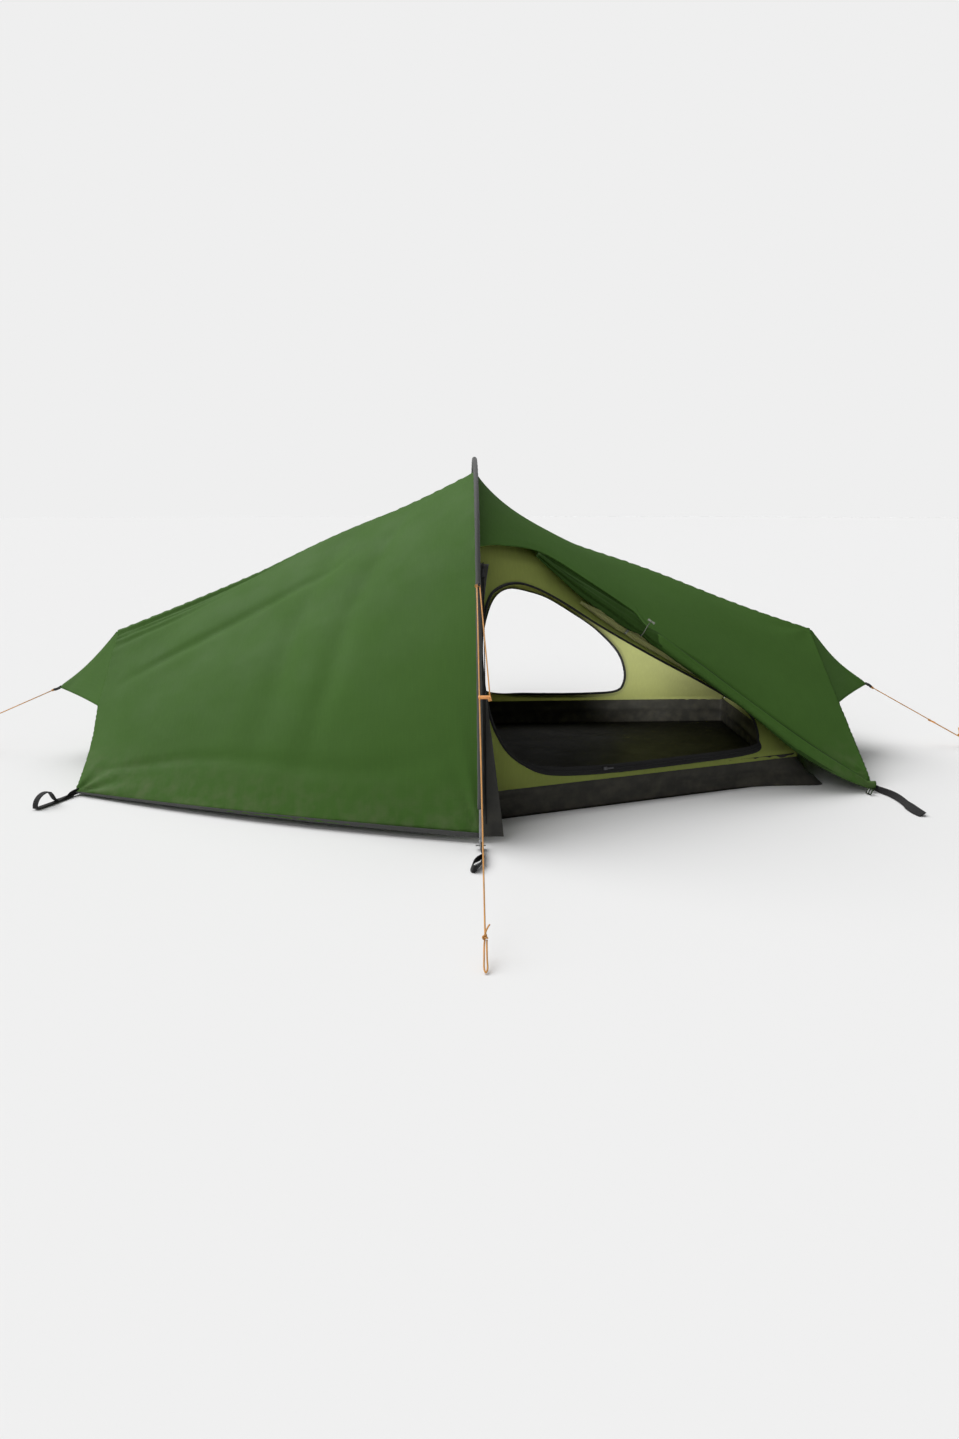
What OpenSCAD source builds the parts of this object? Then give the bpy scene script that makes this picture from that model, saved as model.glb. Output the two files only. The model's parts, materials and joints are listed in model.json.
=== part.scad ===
// Two-person backpacking tent held up by one pole that arches across its middle.
// Millimetres. X runs along the ridge, Y across the tent (-Y is the near side), +Z is up.
// The origin is on the ground, straight below the crown of the pole.

/* [Pole] */
// Height of the pole's centre line at its crown
pole_height = 1044; // [1020:1:1070]
// Distance from the middle of the tent to each pole foot
pole_reach = 1050; // [1030:1:1070]
// Outside diameter of the pole tube
pole_d = 8.5; // [8:0.5:9.5]
// Bore of the pole tube
pole_bore = 7.1; // [7:0.1:7.2]
// Slope at which the tight arc of the crown passes into the flatter legs, degrees from level
crown_angle = 46; // [44:1:48]
// Slope of the pole at the ground, degrees from level
foot_angle = 75; // [74:1:77]

/* [Fly] */
// Thickness of each fly sheet, coating and seam allowance included
fly_t = 1.6; // [1.2:0.1:2]
// Height of the sleeve's web between the pole and the fly
web_h = 45; // [40:1:50]
// Height of the fly at the top of each end strut
strut_top_z = 448; // [430:1:460]
// Distance of the left strut's top from the middle
left_strut_x = 1285; // [1260:5:1300]
// Distance of the right strut's top from the middle
right_strut_x = 1225; // [1210:5:1250]
// Distance of each pegged corner from the middle, along the ridge
corner_x = 1266; // [1250:1:1280]
// Distance of each pegged corner from the middle, across the tent
corner_y = 545; // [530:1:560]
// How far each end hood sticks out past its strut
hood_reach = 228; // [200:1:240]
// Height of the point of each end hood
hood_z = 241; // [230:1:250]
// Sag of the closed left ridge
left_sag = 30; // [20:1:40]
// Sag of the right ridge, slack because its doors are open
right_sag = 95; // [80:1:100]

/* [Inner tent] */
// Half the length of the groundsheet
floor_x = 1052; // [1040:1:1060]
// Half the width of the groundsheet at its ends
floor_end_y = 443; // [430:1:450]
// How far the groundsheet reaches towards the near porch at the pole
floor_near_y = 825; // [810:1:840]
// How far the groundsheet reaches towards the far porch at the pole
floor_far_y = 400; // [380:1:420]
// Height of the waterproof walls around the groundsheet
bathtub_h = 97; // [90:1:100]
// Thickness of each inner sheet
inner_t = 1.6; // [1.2:0.1:2]

/* [Guylines] */
// Diameter of the guylines
guy_d = 2.8; // [2.5:0.1:3]
// Distance of the near and far pegs from the middle
side_peg_y = 1720; // [1700:5:1740]
// Distance of the left peg beyond the point of the left hood
left_peg_reach = 560; // [540:5:600]
// Distance of the right peg beyond the point of the right hood
right_peg_reach = 440; // [420:5:460]
// Spacing of the two holes in a line slider
slider_holes = 26; // [24:1:28]

/* [Hidden] */
$fn = 28;
clear = 1;                    // gap left between neighbouring pieces
fabric_green = "#2f6a2c";
dark_grey = "#3b3b3d";
orange = "#e8862a";
olive = "#a9ad5c";
metal = "#b9bcc0";

// ---- the pole: a crown arc and two flatter leg arcs, tangent to each other ----
leg_span = sin(foot_angle) - sin(crown_angle);
leg_drop = cos(crown_angle) - cos(foot_angle);
det = sin(crown_angle) * leg_drop - leg_span * (1 - cos(crown_angle));
crown_r = (pole_reach * leg_drop - pole_height * leg_span) / det;
leg_r = (sin(crown_angle) * pole_height - (1 - cos(crown_angle)) * pole_reach) / det;
crown_z = pole_height - crown_r;
leg_y = -(leg_r - crown_r) * sin(crown_angle);
leg_z = crown_z - (leg_r - crown_r) * cos(crown_angle);
tip_angle = foot_angle - 0.9;  // where the tube ends and the tip goes on to the ground

// A point of the pole's plane, as [y, z], at a slope from level and a distance inside the pole
function pole_at(slope, inset = 0) =
    abs(slope) <= crown_angle
        ? [(crown_r - inset) * sin(slope), crown_z + (crown_r - inset) * cos(slope)]
        : [sign(slope) * (leg_y + (leg_r - inset) * sin(abs(slope))),
           leg_z + (leg_r - inset) * cos(slope)];

// Sweeps a flat outline, drawn as [distance outside the pole's line, distance along X],
// along the pole between two slopes that lie on one arc
module along_pole(from, to) {
    leg = abs(from + to) > 2 * crown_angle;
    centre = leg ? [0, sign(from + to) * leg_y, leg_z] : [0, 0, crown_z];
    translate(centre)
        rotate([0, -90, 0])
            rotate([0, 0, from])
                rotate_extrude(angle = to - from, $fn = 120)
                    translate([leg ? leg_r : crown_r, 0])
                        children();
}

module ring_outline(outer_d, inner_d) {
    difference() {
        circle(d = outer_d);
        circle(d = inner_d);
    }
}

// Slopes at which one pole section ends and the next begins
third = 2 * crown_angle / 3;
leg_half = (crown_angle + tip_angle) / 2;
section_ends = [-tip_angle, -leg_half, -crown_angle, -crown_angle + third,
                crown_angle - third, crown_angle, leg_half, tip_angle];
joint_gap = 0.01;              // degrees left free at each end of a section
ferrule_d = 7;
ferrule_bore = 5.4;
ferrule_half = 2;              // degrees of pole covered either side of a joint

module pole_section(i)
    color(metal)
        along_pole(section_ends[i - 1] + joint_gap, section_ends[i] - joint_gap)
            ring_outline(pole_d, pole_bore);

// One ferrule inside the tubes, on one arc of the pole
module ferrule(from, to)
    along_pole(from, to)
        ring_outline(ferrule_d, ferrule_bore);

module pole_ferrules()
    color("#8d9094")
        for (i = [1:6])
            if (abs(section_ends[i]) == crown_angle) {
                // this one passes from the crown's arc to a leg's, so it is drawn in two halves
                ferrule(section_ends[i] - ferrule_half, section_ends[i] - joint_gap);
                ferrule(section_ends[i] + joint_gap, section_ends[i] + ferrule_half);
            } else {
                ferrule(section_ends[i] - ferrule_half, section_ends[i] + ferrule_half);
            }

shock_cord_d = 3;
plug_slope = 0.8;              // degrees of each tube filled by the plug of its tip

module pole_shock_cord()
    color("#1d1d1f") {
        end = tip_angle - plug_slope - 0.1;
        along_pole(-crown_angle, crown_angle) circle(d = shock_cord_d);
        along_pole(-end, -crown_angle - joint_gap) circle(d = shock_cord_d);
        along_pole(crown_angle + joint_gap, end) circle(d = shock_cord_d);
    }

collar_slope = 0.25;           // degrees of pole taken by the tip's collar
pin_slope = 0.52;              // degrees of pole taken by the tip's pin
pin_d = 6;

module pole_tips()
    color("#8d9094")
        for (side = [-1, 1])
            scale([1, side, 1]) {
                along_pole(tip_angle - plug_slope, tip_angle + collar_slope / 2) circle(d = ferrule_d);
                along_pole(tip_angle + joint_gap, tip_angle + collar_slope) circle(d = pole_d);
                along_pole(tip_angle + collar_slope / 2, tip_angle + collar_slope + pin_slope)
                    circle(d = pin_d);
            }

sleeve_d = 14;
sleeve_bore = 9.5;
sleeve_end = tip_angle - 2.5;

module sleeve_outline()
    difference() {
        union() {
            circle(d = sleeve_d);
            translate([-web_h, -clear])
                square([web_h, 2 * clear]);
        }
        circle(d = sleeve_bore);
    }

module pole_sleeve()
    color(dark_grey) {
        along_pole(-crown_angle, crown_angle) sleeve_outline();
        along_pole(-sleeve_end, -crown_angle) sleeve_outline();
        along_pole(crown_angle, sleeve_end) sleeve_outline();
    }

// ---- thin sheets as closed solids over a grid of points ----
function unit(v) = v / norm(v);
function sheet_normal(p, i, j) =
    let (n = len(p) - 1, m = len(p[0]) - 1,
         along = p[min(i + 1, n)][j] - p[max(i - 1, 0)][j],
         across = p[i][min(j + 1, m)] - p[i][max(j - 1, 0)])
    unit(cross(along, across));
function split(a, b, c, d) = [[a, b, c], [a, c, d]];

module thin_sheet(p, t) {
    n = len(p) - 1;
    m = len(p[0]) - 1;
    front = [for (i = [0:n]) for (j = [0:m]) p[i][j] + sheet_normal(p, i, j) * t / 2];
    back = [for (i = [0:n]) for (j = [0:m]) p[i][j] - sheet_normal(p, i, j) * t / 2];
    count = (n + 1) * (m + 1);
    function f(i, j) = i * (m + 1) + j;
    function b(i, j) = count + f(i, j);
    faces = concat(
        [for (i = [0:n - 1]) for (j = [0:m - 1]) each split(f(i, j), f(i, j + 1), f(i + 1, j + 1), f(i + 1, j))],
        [for (i = [0:n - 1]) for (j = [0:m - 1]) each split(b(i, j), b(i + 1, j), b(i + 1, j + 1), b(i, j + 1))],
        [for (j = [0:m - 1]) each split(f(0, j + 1), f(0, j), b(0, j), b(0, j + 1))],
        [for (j = [0:m - 1]) each split(f(n, j), f(n, j + 1), b(n, j + 1), b(n, j))],
        [for (i = [0:n - 1]) each split(f(i, 0), f(i + 1, 0), b(i + 1, 0), b(i, 0))],
        [for (i = [0:n - 1]) each split(f(i + 1, m), f(i, m), b(i, m), b(i + 1, m))]);
    polyhedron(points = concat(front, back), faces = faces);
}

// ---- the fly: each quarter is stretched from the pole to the end of the tent ----
// u runs from the pole (0) to the end (1), v from the ridge (0) to the hem (1)
hem_slope = foot_angle - 1;
hem_bow = 40;                  // the hem bows outwards by this much half way along
hem_dip = 8;                   // and hangs this much lower there
side_dip = 22;                 // the middle of a panel pulls in towards the tent by this much
fly_edge = 2;                  // the fly starts this far from the middle of the pole

function fly_sag(u, depth, attack) = depth * (1 - exp(-u / attack)) * (1 - pow(u, 1.7));
function fly_point(u, v, strut_x, depth, attack) =
    let (a = pole_at(-v * hem_slope, web_h),
         pole_side = [fly_edge, a[0], a[1]],
         end_side = [strut_x + (corner_x - strut_x) * v, -corner_y * v,
                     strut_top_z + (10 - strut_top_z) * v],
         mid = 4 * u * (1 - u),
         pull = side_dip * mid * 4 * v * (1 - v))
    pole_side + (end_side - pole_side) * u
        + [0, 0.7 * pull - hem_bow * mid * pow(v, 3),
           -fly_sag(u, depth, attack) * pow(1 - v, 2) - 0.5 * pull - hem_dip * mid * pow(v, 3)];
function left_fly(u, v) = fly_point(u, v, left_strut_x, left_sag, 0.35);
function right_fly(u, v) = fly_point(u, v, right_strut_x, right_sag, 0.08);

fly_steps = 14;
fly_rows = 9;
ridge_gap = 0.004;             // part of a panel's height left free at the ridge seam

module fly_left_near()
    color(fabric_green)
        mirror([1, 0, 0])
            thin_sheet([for (i = [0:fly_steps]) [for (j = [0:fly_rows])
                left_fly(i / fly_steps, ridge_gap + (1 - ridge_gap) * j / fly_rows)]], fly_t);

module fly_left_far()
    mirror([0, 1, 0]) fly_left_near();

// Lower edge of the open right panel: down the door header, then along the rolled door
// to the pegged corner. Each pair is [u, v].
door_edge = [[0, 0.60], [0.06, 0.53], [0.17, 0.44], [0.30, 0.49], [0.45, 0.53],
             [0.60, 0.60], [0.70, 0.66], [0.80, 0.73], [0.90, 0.82], [1, 0.93]];

module fly_right_near()
    color(fabric_green)
        thin_sheet([for (i = [0:fly_steps]) let (u = i / fly_steps) [for (j = [0:6])
            right_fly(u, ridge_gap + (lookup(u, door_edge) - ridge_gap) * j / 6)]], fly_t);

module fly_right_far()
    mirror([0, 1, 0]) fly_right_near();

// ---- a tapered round bundle or cord swept along a route ----
function ring_points(route, i, r, sides, up) =
    let (n = len(route) - 1,
         along = unit(route[min(i + 1, n)] - route[max(i - 1, 0)]),
         side = unit(cross(along, up)),
         top = cross(side, along))
    [for (k = [0:sides - 1]) route[i] + r * (cos(360 * k / sides) * side + sin(360 * k / sides) * top)];

module swept(route, radii, sides, up) {
    n = len(route) - 1;
    points = [for (i = [0:n]) each ring_points(route, i, radii[i], sides, up)];
    function at(i, k) = i * sides + k % sides;
    faces = concat(
        [[for (k = [0:sides - 1]) at(0, k)]],
        [for (i = [0:n - 1]) for (k = [0:sides - 1])
            each split(at(i, k), at(i + 1, k), at(i + 1, k + 1), at(i, k + 1))],
        [[for (k = [sides - 1:-1:0]) at(n, k)]]);
    polyhedron(points = points, faces = faces);
}

// ---- the fly door, rolled up along a straight line from the header to the right corner ----
roll_top = [190, -424, 738];
roll_foot = [1238, -556, 24];
roll_steps = 12;
roll_thick = 27;               // radius of the roll near its middle
roll_thin = 13;                // radius of the roll at the corner

module near_door_roll()
    color("#28592a")
        swept([for (i = [0:roll_steps]) roll_top + (roll_foot - roll_top) * i / roll_steps],
              [for (i = [0:roll_steps]) let (s = i / roll_steps)
                  s < 0.2 ? roll_thin + (roll_thick - roll_thin) * s / 0.2
                          : roll_thick + (roll_thin - roll_thick) * (s - 0.2) / 0.8],
              12, [0, 1, 0]);

module far_door_roll()
    mirror([0, 1, 0]) near_door_roll();

// Dark flap along the pole that carries the door's zip, from the header down to the ground
flap_top_v = 0.64;
flap_steps = 8;
function flap_width(s) = s < 0.4 ? 32 - 45 * s : 14 + 80 * (s - 0.4);
function flap_slope(s) = (flap_top_v + (1 - flap_top_v) * s) * hem_slope;

module near_zip_flap()
    thin_sheet([for (i = [0:flap_steps])
        let (s = i / flap_steps,
             outer = pole_at(-flap_slope(s), web_h + 3),
             inner = pole_at(-flap_slope(s), web_h + 12))
        [[fly_edge + 1, outer[0], outer[1]], [fly_edge + flap_width(s), inner[0], inner[1]]]], fly_t);

module door_zip_flaps()
    color(dark_grey) {
        near_zip_flap();
        mirror([0, 1, 0]) near_zip_flap();
    }

// The zip slider runs on the flap, along an arc about the centre of the pole's leg
slider_slope = flap_slope(0.06);
slider_inset = 44;
module near_door_slider()
    color("#4a4a4c")
        translate([0, -leg_y, leg_z])
            rotate([slider_slope, 0, 0])
                translate([0, 0, leg_r - slider_inset])
                    difference() {
                        union() {
                            translate([12, -7, -2.5]) cube([9, 14, 5]);
                            translate([14.5, -5, 2.5]) cube([4, 24, 1.6]);
                        }
                        translate([16.5, 15, 2]) cylinder(d = 2.2, h = 3);
                    }

module far_door_slider()
    mirror([0, 1, 0]) near_door_slider();

// Toggle and elastic loop that hold the rolled door open
tie_at = 0.32;                 // place along the roll
tie_centre = roll_top + (roll_foot - roll_top) * tie_at;
roll_along = unit(roll_foot - roll_top);
tie_turn = atan2(roll_along[1], roll_along[0]);
tie_tilt = acos(roll_along[2]);
toggle_d = 7;
toggle_waist = 5;
toggle_bore = 2.2;             // the loop's cord passes through here, and the toggle turns on it

module near_door_toggle()
    color(dark_grey)
        translate(tie_centre)
            rotate([0, tie_tilt, tie_turn])
                translate([-34, -40, 0]) {
                    difference() {
                        cylinder(d = toggle_waist, h = 12, center = true);
                        rotate([90, 0, 0])
                            cylinder(d = toggle_bore, h = toggle_waist + 2, center = true);
                    }
                    for (end = [-1, 1])
                        translate([0, 0, end * 9])
                            cylinder(d = toggle_d, h = 6, center = true);
                }

module far_door_toggle()
    mirror([0, 1, 0]) near_door_toggle();

tie_loop_r = 34;
module near_tie_loop()
    translate(tie_centre)
        rotate([0, tie_tilt, tie_turn])
            rotate([0, 0, -75])
                rotate_extrude(angle = 110, $fn = 90)
                    translate([tie_loop_r, 0])
                        circle(d = 3);

module door_tie_loops()
    color(dark_grey) {
        near_tie_loop();
        mirror([0, 1, 0]) near_tie_loop();
    }

// ---- binding along the hem of the closed panels ----
module near_hem()
    mirror([1, 0, 0])
        thin_sheet([for (i = [0:fly_steps])
            let (p = left_fly(i / fly_steps, 1))
            [p + [0, -2.2, 12], p + [0, -2.6, -1]]], 1.2);

module hem_bindings()
    color(dark_grey) {
        near_hem();
        mirror([0, 1, 0]) near_hem();
    }

// ---- the two ends: hood, vent mesh, end panel, strut and its sleeve ----
// Each is drawn for the right-hand end and mirrored for the left
hood_split = 0.48;             // part of the end edge, from the strut down, that the hood covers
function end_edge(strut_x, v) = [strut_x + (corner_x - strut_x) * v, -corner_y * v,
                                 strut_top_z + (10 - strut_top_z) * v];
hood_steps = 6;
hood_hollow = 16;              // the hood's edges curve inwards by this much

function hood_point(strut_x, s, w) =
    let (top = end_edge(strut_x, hood_split * s) + [fly_edge, 0, 0],
         tip = [strut_x + hood_reach, -1.5, hood_z],
         crest = [strut_x + fly_edge, -1.5, strut_top_z],
         outer = crest + (tip - crest) * s - [0, 0, hood_hollow * sin(180 * s)])
    top + (outer - top) * w + [-hood_hollow * sin(180 * w) * s, 0, 0];

module near_hood(strut_x)
    thin_sheet([for (i = [1:hood_steps]) [for (j = [0:3])
        hood_point(strut_x, i / hood_steps, j / 3)]], fly_t);

module hood(strut_x) {
    near_hood(strut_x);
    mirror([0, 1, 0]) near_hood(strut_x);
}

module right_hood()
    color(fabric_green) hood(right_strut_x);
module left_hood()
    color(fabric_green) mirror([1, 0, 0]) hood(left_strut_x);

// Stands a flat outline, drawn as [y, height along the strut], in the plane of an end
module in_end_plane(strut_x, t)
    translate([corner_x - 6, 0, 0])
        rotate([0, atan2(strut_x - corner_x, strut_top_z), 0])
            rotate([90, 0, 90])
                translate([0, 0, -t])
                    linear_extrude(t)
                        children();

split_y = corner_y * hood_split;
split_z = strut_top_z * (1 - hood_split);
module end_panel(strut_x)
    in_end_plane(strut_x, fly_t)
        polygon([[-corner_y + 8, 14], [corner_y - 8, 14], [split_y - 4, split_z - 4],
                 [-split_y + 4, split_z - 4]]);

module right_end_panel()
    color(fabric_green) end_panel(right_strut_x);
module left_end_panel()
    color(fabric_green) mirror([1, 0, 0]) end_panel(left_strut_x);

module vent_mesh(strut_x)
    in_end_plane(strut_x, 1)
        polygon([[-split_y + 8, split_z - 2], [split_y - 8, split_z - 2], [8, strut_top_z - 14],
                 [-8, strut_top_z - 14]]);

module end_vent_meshes()
    color("#5d5f58") {
        vent_mesh(right_strut_x);
        mirror([1, 0, 0]) vent_mesh(left_strut_x);
    }

strut_d = 6;
strut_back = 16;               // the strut stands this far inside the end panel
strut_foot_z = 6;
strut_len = strut_top_z - 30;
cap_d = 9;

module at_strut(strut_x)
    translate([corner_x - strut_back, 0, strut_foot_z])
        rotate([0, atan2(strut_x - corner_x, strut_top_z), 0])
            children();

module both_ends() {
    at_strut(right_strut_x) children();
    mirror([1, 0, 0]) at_strut(left_strut_x) children();
}

module end_struts()
    color(metal) both_ends() cylinder(d = strut_d, h = strut_len);

module strut_caps()
    color("#202022")
        both_ends()
            for (end = [0, 1])
                translate([0, 0, end * strut_len])
                    mirror([0, 0, end])
                        difference() {
                            translate([0, 0, -4]) cylinder(d = cap_d, h = 22);
                            cylinder(d = strut_d + 0.1, h = 20);
                        }

module strut_sleeves()
    color(dark_grey)
        both_ends()
            translate([0, 0, 24])
                difference() {
                    cylinder(d = cap_d + 3, h = strut_len - 48);
                    translate([0, 0, -1]) cylinder(d = cap_d, h = strut_len - 46);
                }

// ---- the inner tent ----
floor_t = 2;
wall_base = floor_t + 0.5;

module groundsheet()
    color("#2c2c2e")
        linear_extrude(floor_t)
            polygon([[-floor_x, -floor_end_y], [0, -floor_near_y], [floor_x, -floor_end_y],
                     [floor_x, floor_end_y], [0, floor_far_y], [-floor_x, floor_end_y]]);

// One straight waterproof wall between two corners of the groundsheet, given as [x, y]
module bathtub_wall(a, b) {
    run = b - a;
    inset = 3;
    translate([a[0], a[1], wall_base])
        rotate([90, 0, atan2(run[1], run[0])])
            translate([inset, 0, -inner_t])
                linear_extrude(inner_t)
                    square([norm(run) - 2 * inset, bathtub_h - wall_base]);
}

module bathtub_walls()
    color("#2c2c2e") {
        bathtub_wall([-floor_x, -floor_end_y], [0, -floor_near_y]);
        bathtub_wall([0, -floor_near_y], [floor_x, -floor_end_y]);
        bathtub_wall([floor_x, -floor_end_y], [floor_x, floor_end_y]);
        bathtub_wall([floor_x, floor_end_y], [0, floor_far_y]);
        bathtub_wall([0, floor_far_y], [-floor_x, floor_end_y]);
        bathtub_wall([-floor_x, floor_end_y], [-floor_x, -floor_end_y]);
    }

// Cross-sections of the inner under the pole, from the waterproof wall up to the ridge
near_section = [[-floor_near_y, bathtub_h], [-810, 300], [-745, 520], [-610, 700],
                [-430, 830], [-220, 905], [0, 930]];
far_section = [[floor_far_y, bathtub_h], [420, 300], [430, 500], [420, 660],
               [360, 800], [200, 900], [0, 930]];
inner_end_z = 395;             // height of the inner's ridge at each end
inner_ridge_sag = 50;
inner_lift = 2;                // gap left above the waterproof wall

// Smooth curve through a section's points
function section_at(section, v) =
    let (n = len(section) - 1, s = min(max(v, 0), 1) * n, i = min(floor(s), n - 1), t = s - i,
         a = section[max(i - 1, 0)], b = section[i], c = section[i + 1], d = section[min(i + 2, n)])
    0.5 * (2 * b + (c - a) * t + (2 * a - 5 * b + 4 * c - d) * t * t
           + (3 * b - a - 3 * c + d) * t * t * t);

// A point of an inner wall: u from the pole to the end, v from the waterproof wall to the ridge
function inner_point(side, u, v) =
    let (pole_side = section_at(side < 0 ? near_section : far_section, v),
         end_side = [side * floor_end_y, bathtub_h] * (1 - v) + [0, inner_end_z] * v,
         p = pole_side + (end_side - pole_side) * u)
    [floor_x * u, p[0], p[1] - inner_ridge_sag * 4 * u * (1 - u) * v * v + inner_lift];

inner_steps = 8;
inner_rows = 10;
inner_edge = 0.003;            // part of a wall left free at its seams

function spread(s) = inner_edge + (1 - 2 * inner_edge) * s;

module inner_closed_wall(side)
    mirror([1, 0, 0])
        thin_sheet([for (i = [0:inner_steps]) [for (j = [0:inner_rows])
            inner_point(side, spread(i / inner_steps), spread(j / inner_rows))]], inner_t);

module inner_left_near()
    color(olive) inner_closed_wall(-1);
module inner_left_far()
    color(olive) inner_closed_wall(1);

// Outline of each door in its wall, as [u, v], going round from the lower corner by the pole
near_door = [[0.10, 0.05], [0.035, 0.13], [0.02, 0.25], [0.03, 0.42], [0.07, 0.52], [0.15, 0.58],
             [0.26, 0.57], [0.40, 0.51], [0.55, 0.45], [0.70, 0.39], [0.82, 0.32], [0.865, 0.24],
             [0.87, 0.12], [0.84, 0.05], [0.60, 0.03], [0.35, 0.03]];
far_door = [[0.06, 0.04], [0.02, 0.10], [0.02, 0.20], [0.05, 0.30], [0.09, 0.40], [0.14, 0.46],
            [0.21, 0.48], [0.29, 0.49], [0.38, 0.46], [0.47, 0.41], [0.54, 0.34], [0.58, 0.26],
            [0.59, 0.14], [0.56, 0.06], [0.45, 0.035], [0.25, 0.03]];
// The wall's own outline, with one point for each point of a door
wall_outline = [[0.10, 0], [0, 0], [0, 0.25], [0, 0.50], [0, 0.75], [0, 1], [0.25, 1], [0.45, 1],
                [0.65, 1], [0.85, 1], [1, 1], [1, 0.5], [1, 0], [0.84, 0], [0.60, 0], [0.35, 0]];
frame_rows = 4;

// A wall with a door in it: a band of sheet that runs round from the outline to the door's edge
module inner_door_wall(side, door) {
    count = len(door);
    function uv(k, r) = wall_outline[k % count] * (1 - r) + door[k % count] * r;
    function at(k, r) = let (q = uv(k, r)) inner_point(side, spread(q[0]), spread(q[1]));
    function flat_normal(k, r) =
        let (q = uv(k, r), e = 0.01,
             du = inner_point(side, min(q[0] + e, 1), q[1]) - inner_point(side, max(q[0] - e, 0), q[1]),
             dv = inner_point(side, q[0], min(q[1] + e, 1)) - inner_point(side, q[0], max(q[1] - e, 0)))
        unit(cross(du, dv));
    front = [for (k = [0:count - 1]) for (r = [0:frame_rows])
        at(k, r / frame_rows) + flat_normal(k, r / frame_rows) * inner_t / 2];
    back = [for (k = [0:count - 1]) for (r = [0:frame_rows])
        at(k, r / frame_rows) - flat_normal(k, r / frame_rows) * inner_t / 2];
    total = count * (frame_rows + 1);
    function f(k, r) = (k % count) * (frame_rows + 1) + r;
    function b(k, r) = total + f(k, r);
    faces = concat(
        [for (k = [0:count - 1]) for (r = [0:frame_rows - 1])
            each split(f(k, r), f(k + 1, r), f(k + 1, r + 1), f(k, r + 1))],
        [for (k = [0:count - 1]) for (r = [0:frame_rows - 1])
            each split(b(k, r), b(k, r + 1), b(k + 1, r + 1), b(k + 1, r))],
        [for (k = [0:count - 1]) each split(f(k, 0), b(k, 0), b(k + 1, 0), f(k + 1, 0))],
        [for (k = [0:count - 1])
            each split(f(k, frame_rows), f(k + 1, frame_rows), b(k + 1, frame_rows), b(k, frame_rows))]);
    polyhedron(points = concat(front, back), faces = faces);
}

module inner_right_near()
    color(olive) inner_door_wall(-1, near_door);
module inner_right_far()
    color(olive) mirror([0, 1, 0]) inner_door_wall_far();
module inner_door_wall_far()
    mirror([0, 1, 0]) inner_door_wall(1, far_door);

module inner_end()
    translate([floor_x - 2 * inner_t, 0, 0])
        rotate([90, 0, 90])
            linear_extrude(inner_t)
                polygon([[-floor_end_y + 8, bathtub_h + 4], [floor_end_y - 8, bathtub_h + 4],
                         [4, inner_end_z - 6], [-4, inner_end_z - 6]]);

module inner_right_end()
    color(olive) inner_end();
module inner_left_end()
    color(olive) mirror([1, 0, 0]) inner_end();

// Outward normal of an inner wall, away from the inside of the tent
function inner_normal(side, u, v) =
    let (e = 0.01,
         du = inner_point(side, u + e, v) - inner_point(side, u - e, v),
         dv = inner_point(side, u, v + e) - inner_point(side, u, v - e))
    side * unit(cross(dv, du));
function off_wall(side, q, gap) = inner_point(side, q[0], q[1]) + gap * inner_normal(side, q[0], q[1]);

// Inner doors, rolled and tied along the upper edge of each opening
near_bundle = [[0.38, 0.56], [0.46, 0.54], [0.56, 0.50], [0.68, 0.45], [0.79, 0.38]];
far_bundle = [[0.17, 0.54], [0.24, 0.54], [0.32, 0.53], [0.41, 0.49], [0.49, 0.44], [0.56, 0.38]];
bundle_r = 15;

module inner_bundle(side, route)
    swept([for (q = route) off_wall(side, q, bundle_r + 2)],
          [for (i = [0:len(route) - 1]) i == 0 || i == len(route) - 1 ? bundle_r * 0.6 : bundle_r],
          10, [0, 0, 1]);

module inner_door_rolls()
    color("#8f9450") {
        inner_bundle(-1, near_bundle);
        inner_bundle(1, far_bundle);
    }

// Zips round the doors of the inner, and the slider on the straight lower run of each
zip_r = 2.2;
zip_gap = 4;
near_zip_v = 0.03;
far_zip_v = 0.035;
near_slider_u = 0.36;
far_slider_u = 0.28;

module inner_zip(side, door)
    swept([for (k = [0:len(door)]) off_wall(side, door[k % len(door)] + [0, k == len(door) ? 0.02 : 0],
                                            zip_gap)],
          [for (k = [0:len(door)]) zip_r], 6, [0, side, 0.3]);

module inner_door_zips()
    color("#1d1d1f") {
        inner_zip(-1, near_door);
        inner_zip(1, far_door);
    }

module inner_slider(side, u, v) {
    p = off_wall(side, [u, v], zip_gap + zip_r + 1);
    run = inner_point(side, 1, v) - inner_point(side, 0, v);
    translate(p)
        rotate([0, 0, atan2(run[1], run[0])])
            scale([1, side, 1]) {
                translate([-6, 0, -4.5]) cube([12, 4, 9]);
                translate([4, 4, -2]) cube([22, 1.4, 4]);
            }
}

module near_inner_slider()
    color("#4a4a4c") inner_slider(-1, near_slider_u, near_zip_v);
module far_inner_slider()
    color("#4a4a4c") inner_slider(1, far_slider_u, far_zip_v);

// A straight round rod between two points
module rod_between(a, b, d) {
    run = b - a;
    translate(a)
        rotate([0, acos(run[2] / norm(run)), atan2(run[1], run[0])])
            cylinder(d = d, h = norm(run));
}

// Elastic hangers that hold the inner up under the pole and out to the end struts
hanger_gap = 3;
hanger_slopes = [-34, -20, -6, 20, 34];
module inner_hangers()
    color("#1d1d1f") {
        for (slope = hanger_slopes) {
            top = pole_at(slope, web_h + hanger_gap);
            foot = pole_at(slope, web_h + 42);
            rod_between([0, top[0], top[1]], [0, foot[0], foot[1]], 4);
        }
        for (end = [-1, 1])
            rod_between([end * (floor_x + hanger_gap), 0, inner_end_z - 14],
                        [end * (min(left_strut_x, right_strut_x) - 34), 0, inner_end_z - 6], 4);
    }

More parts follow.
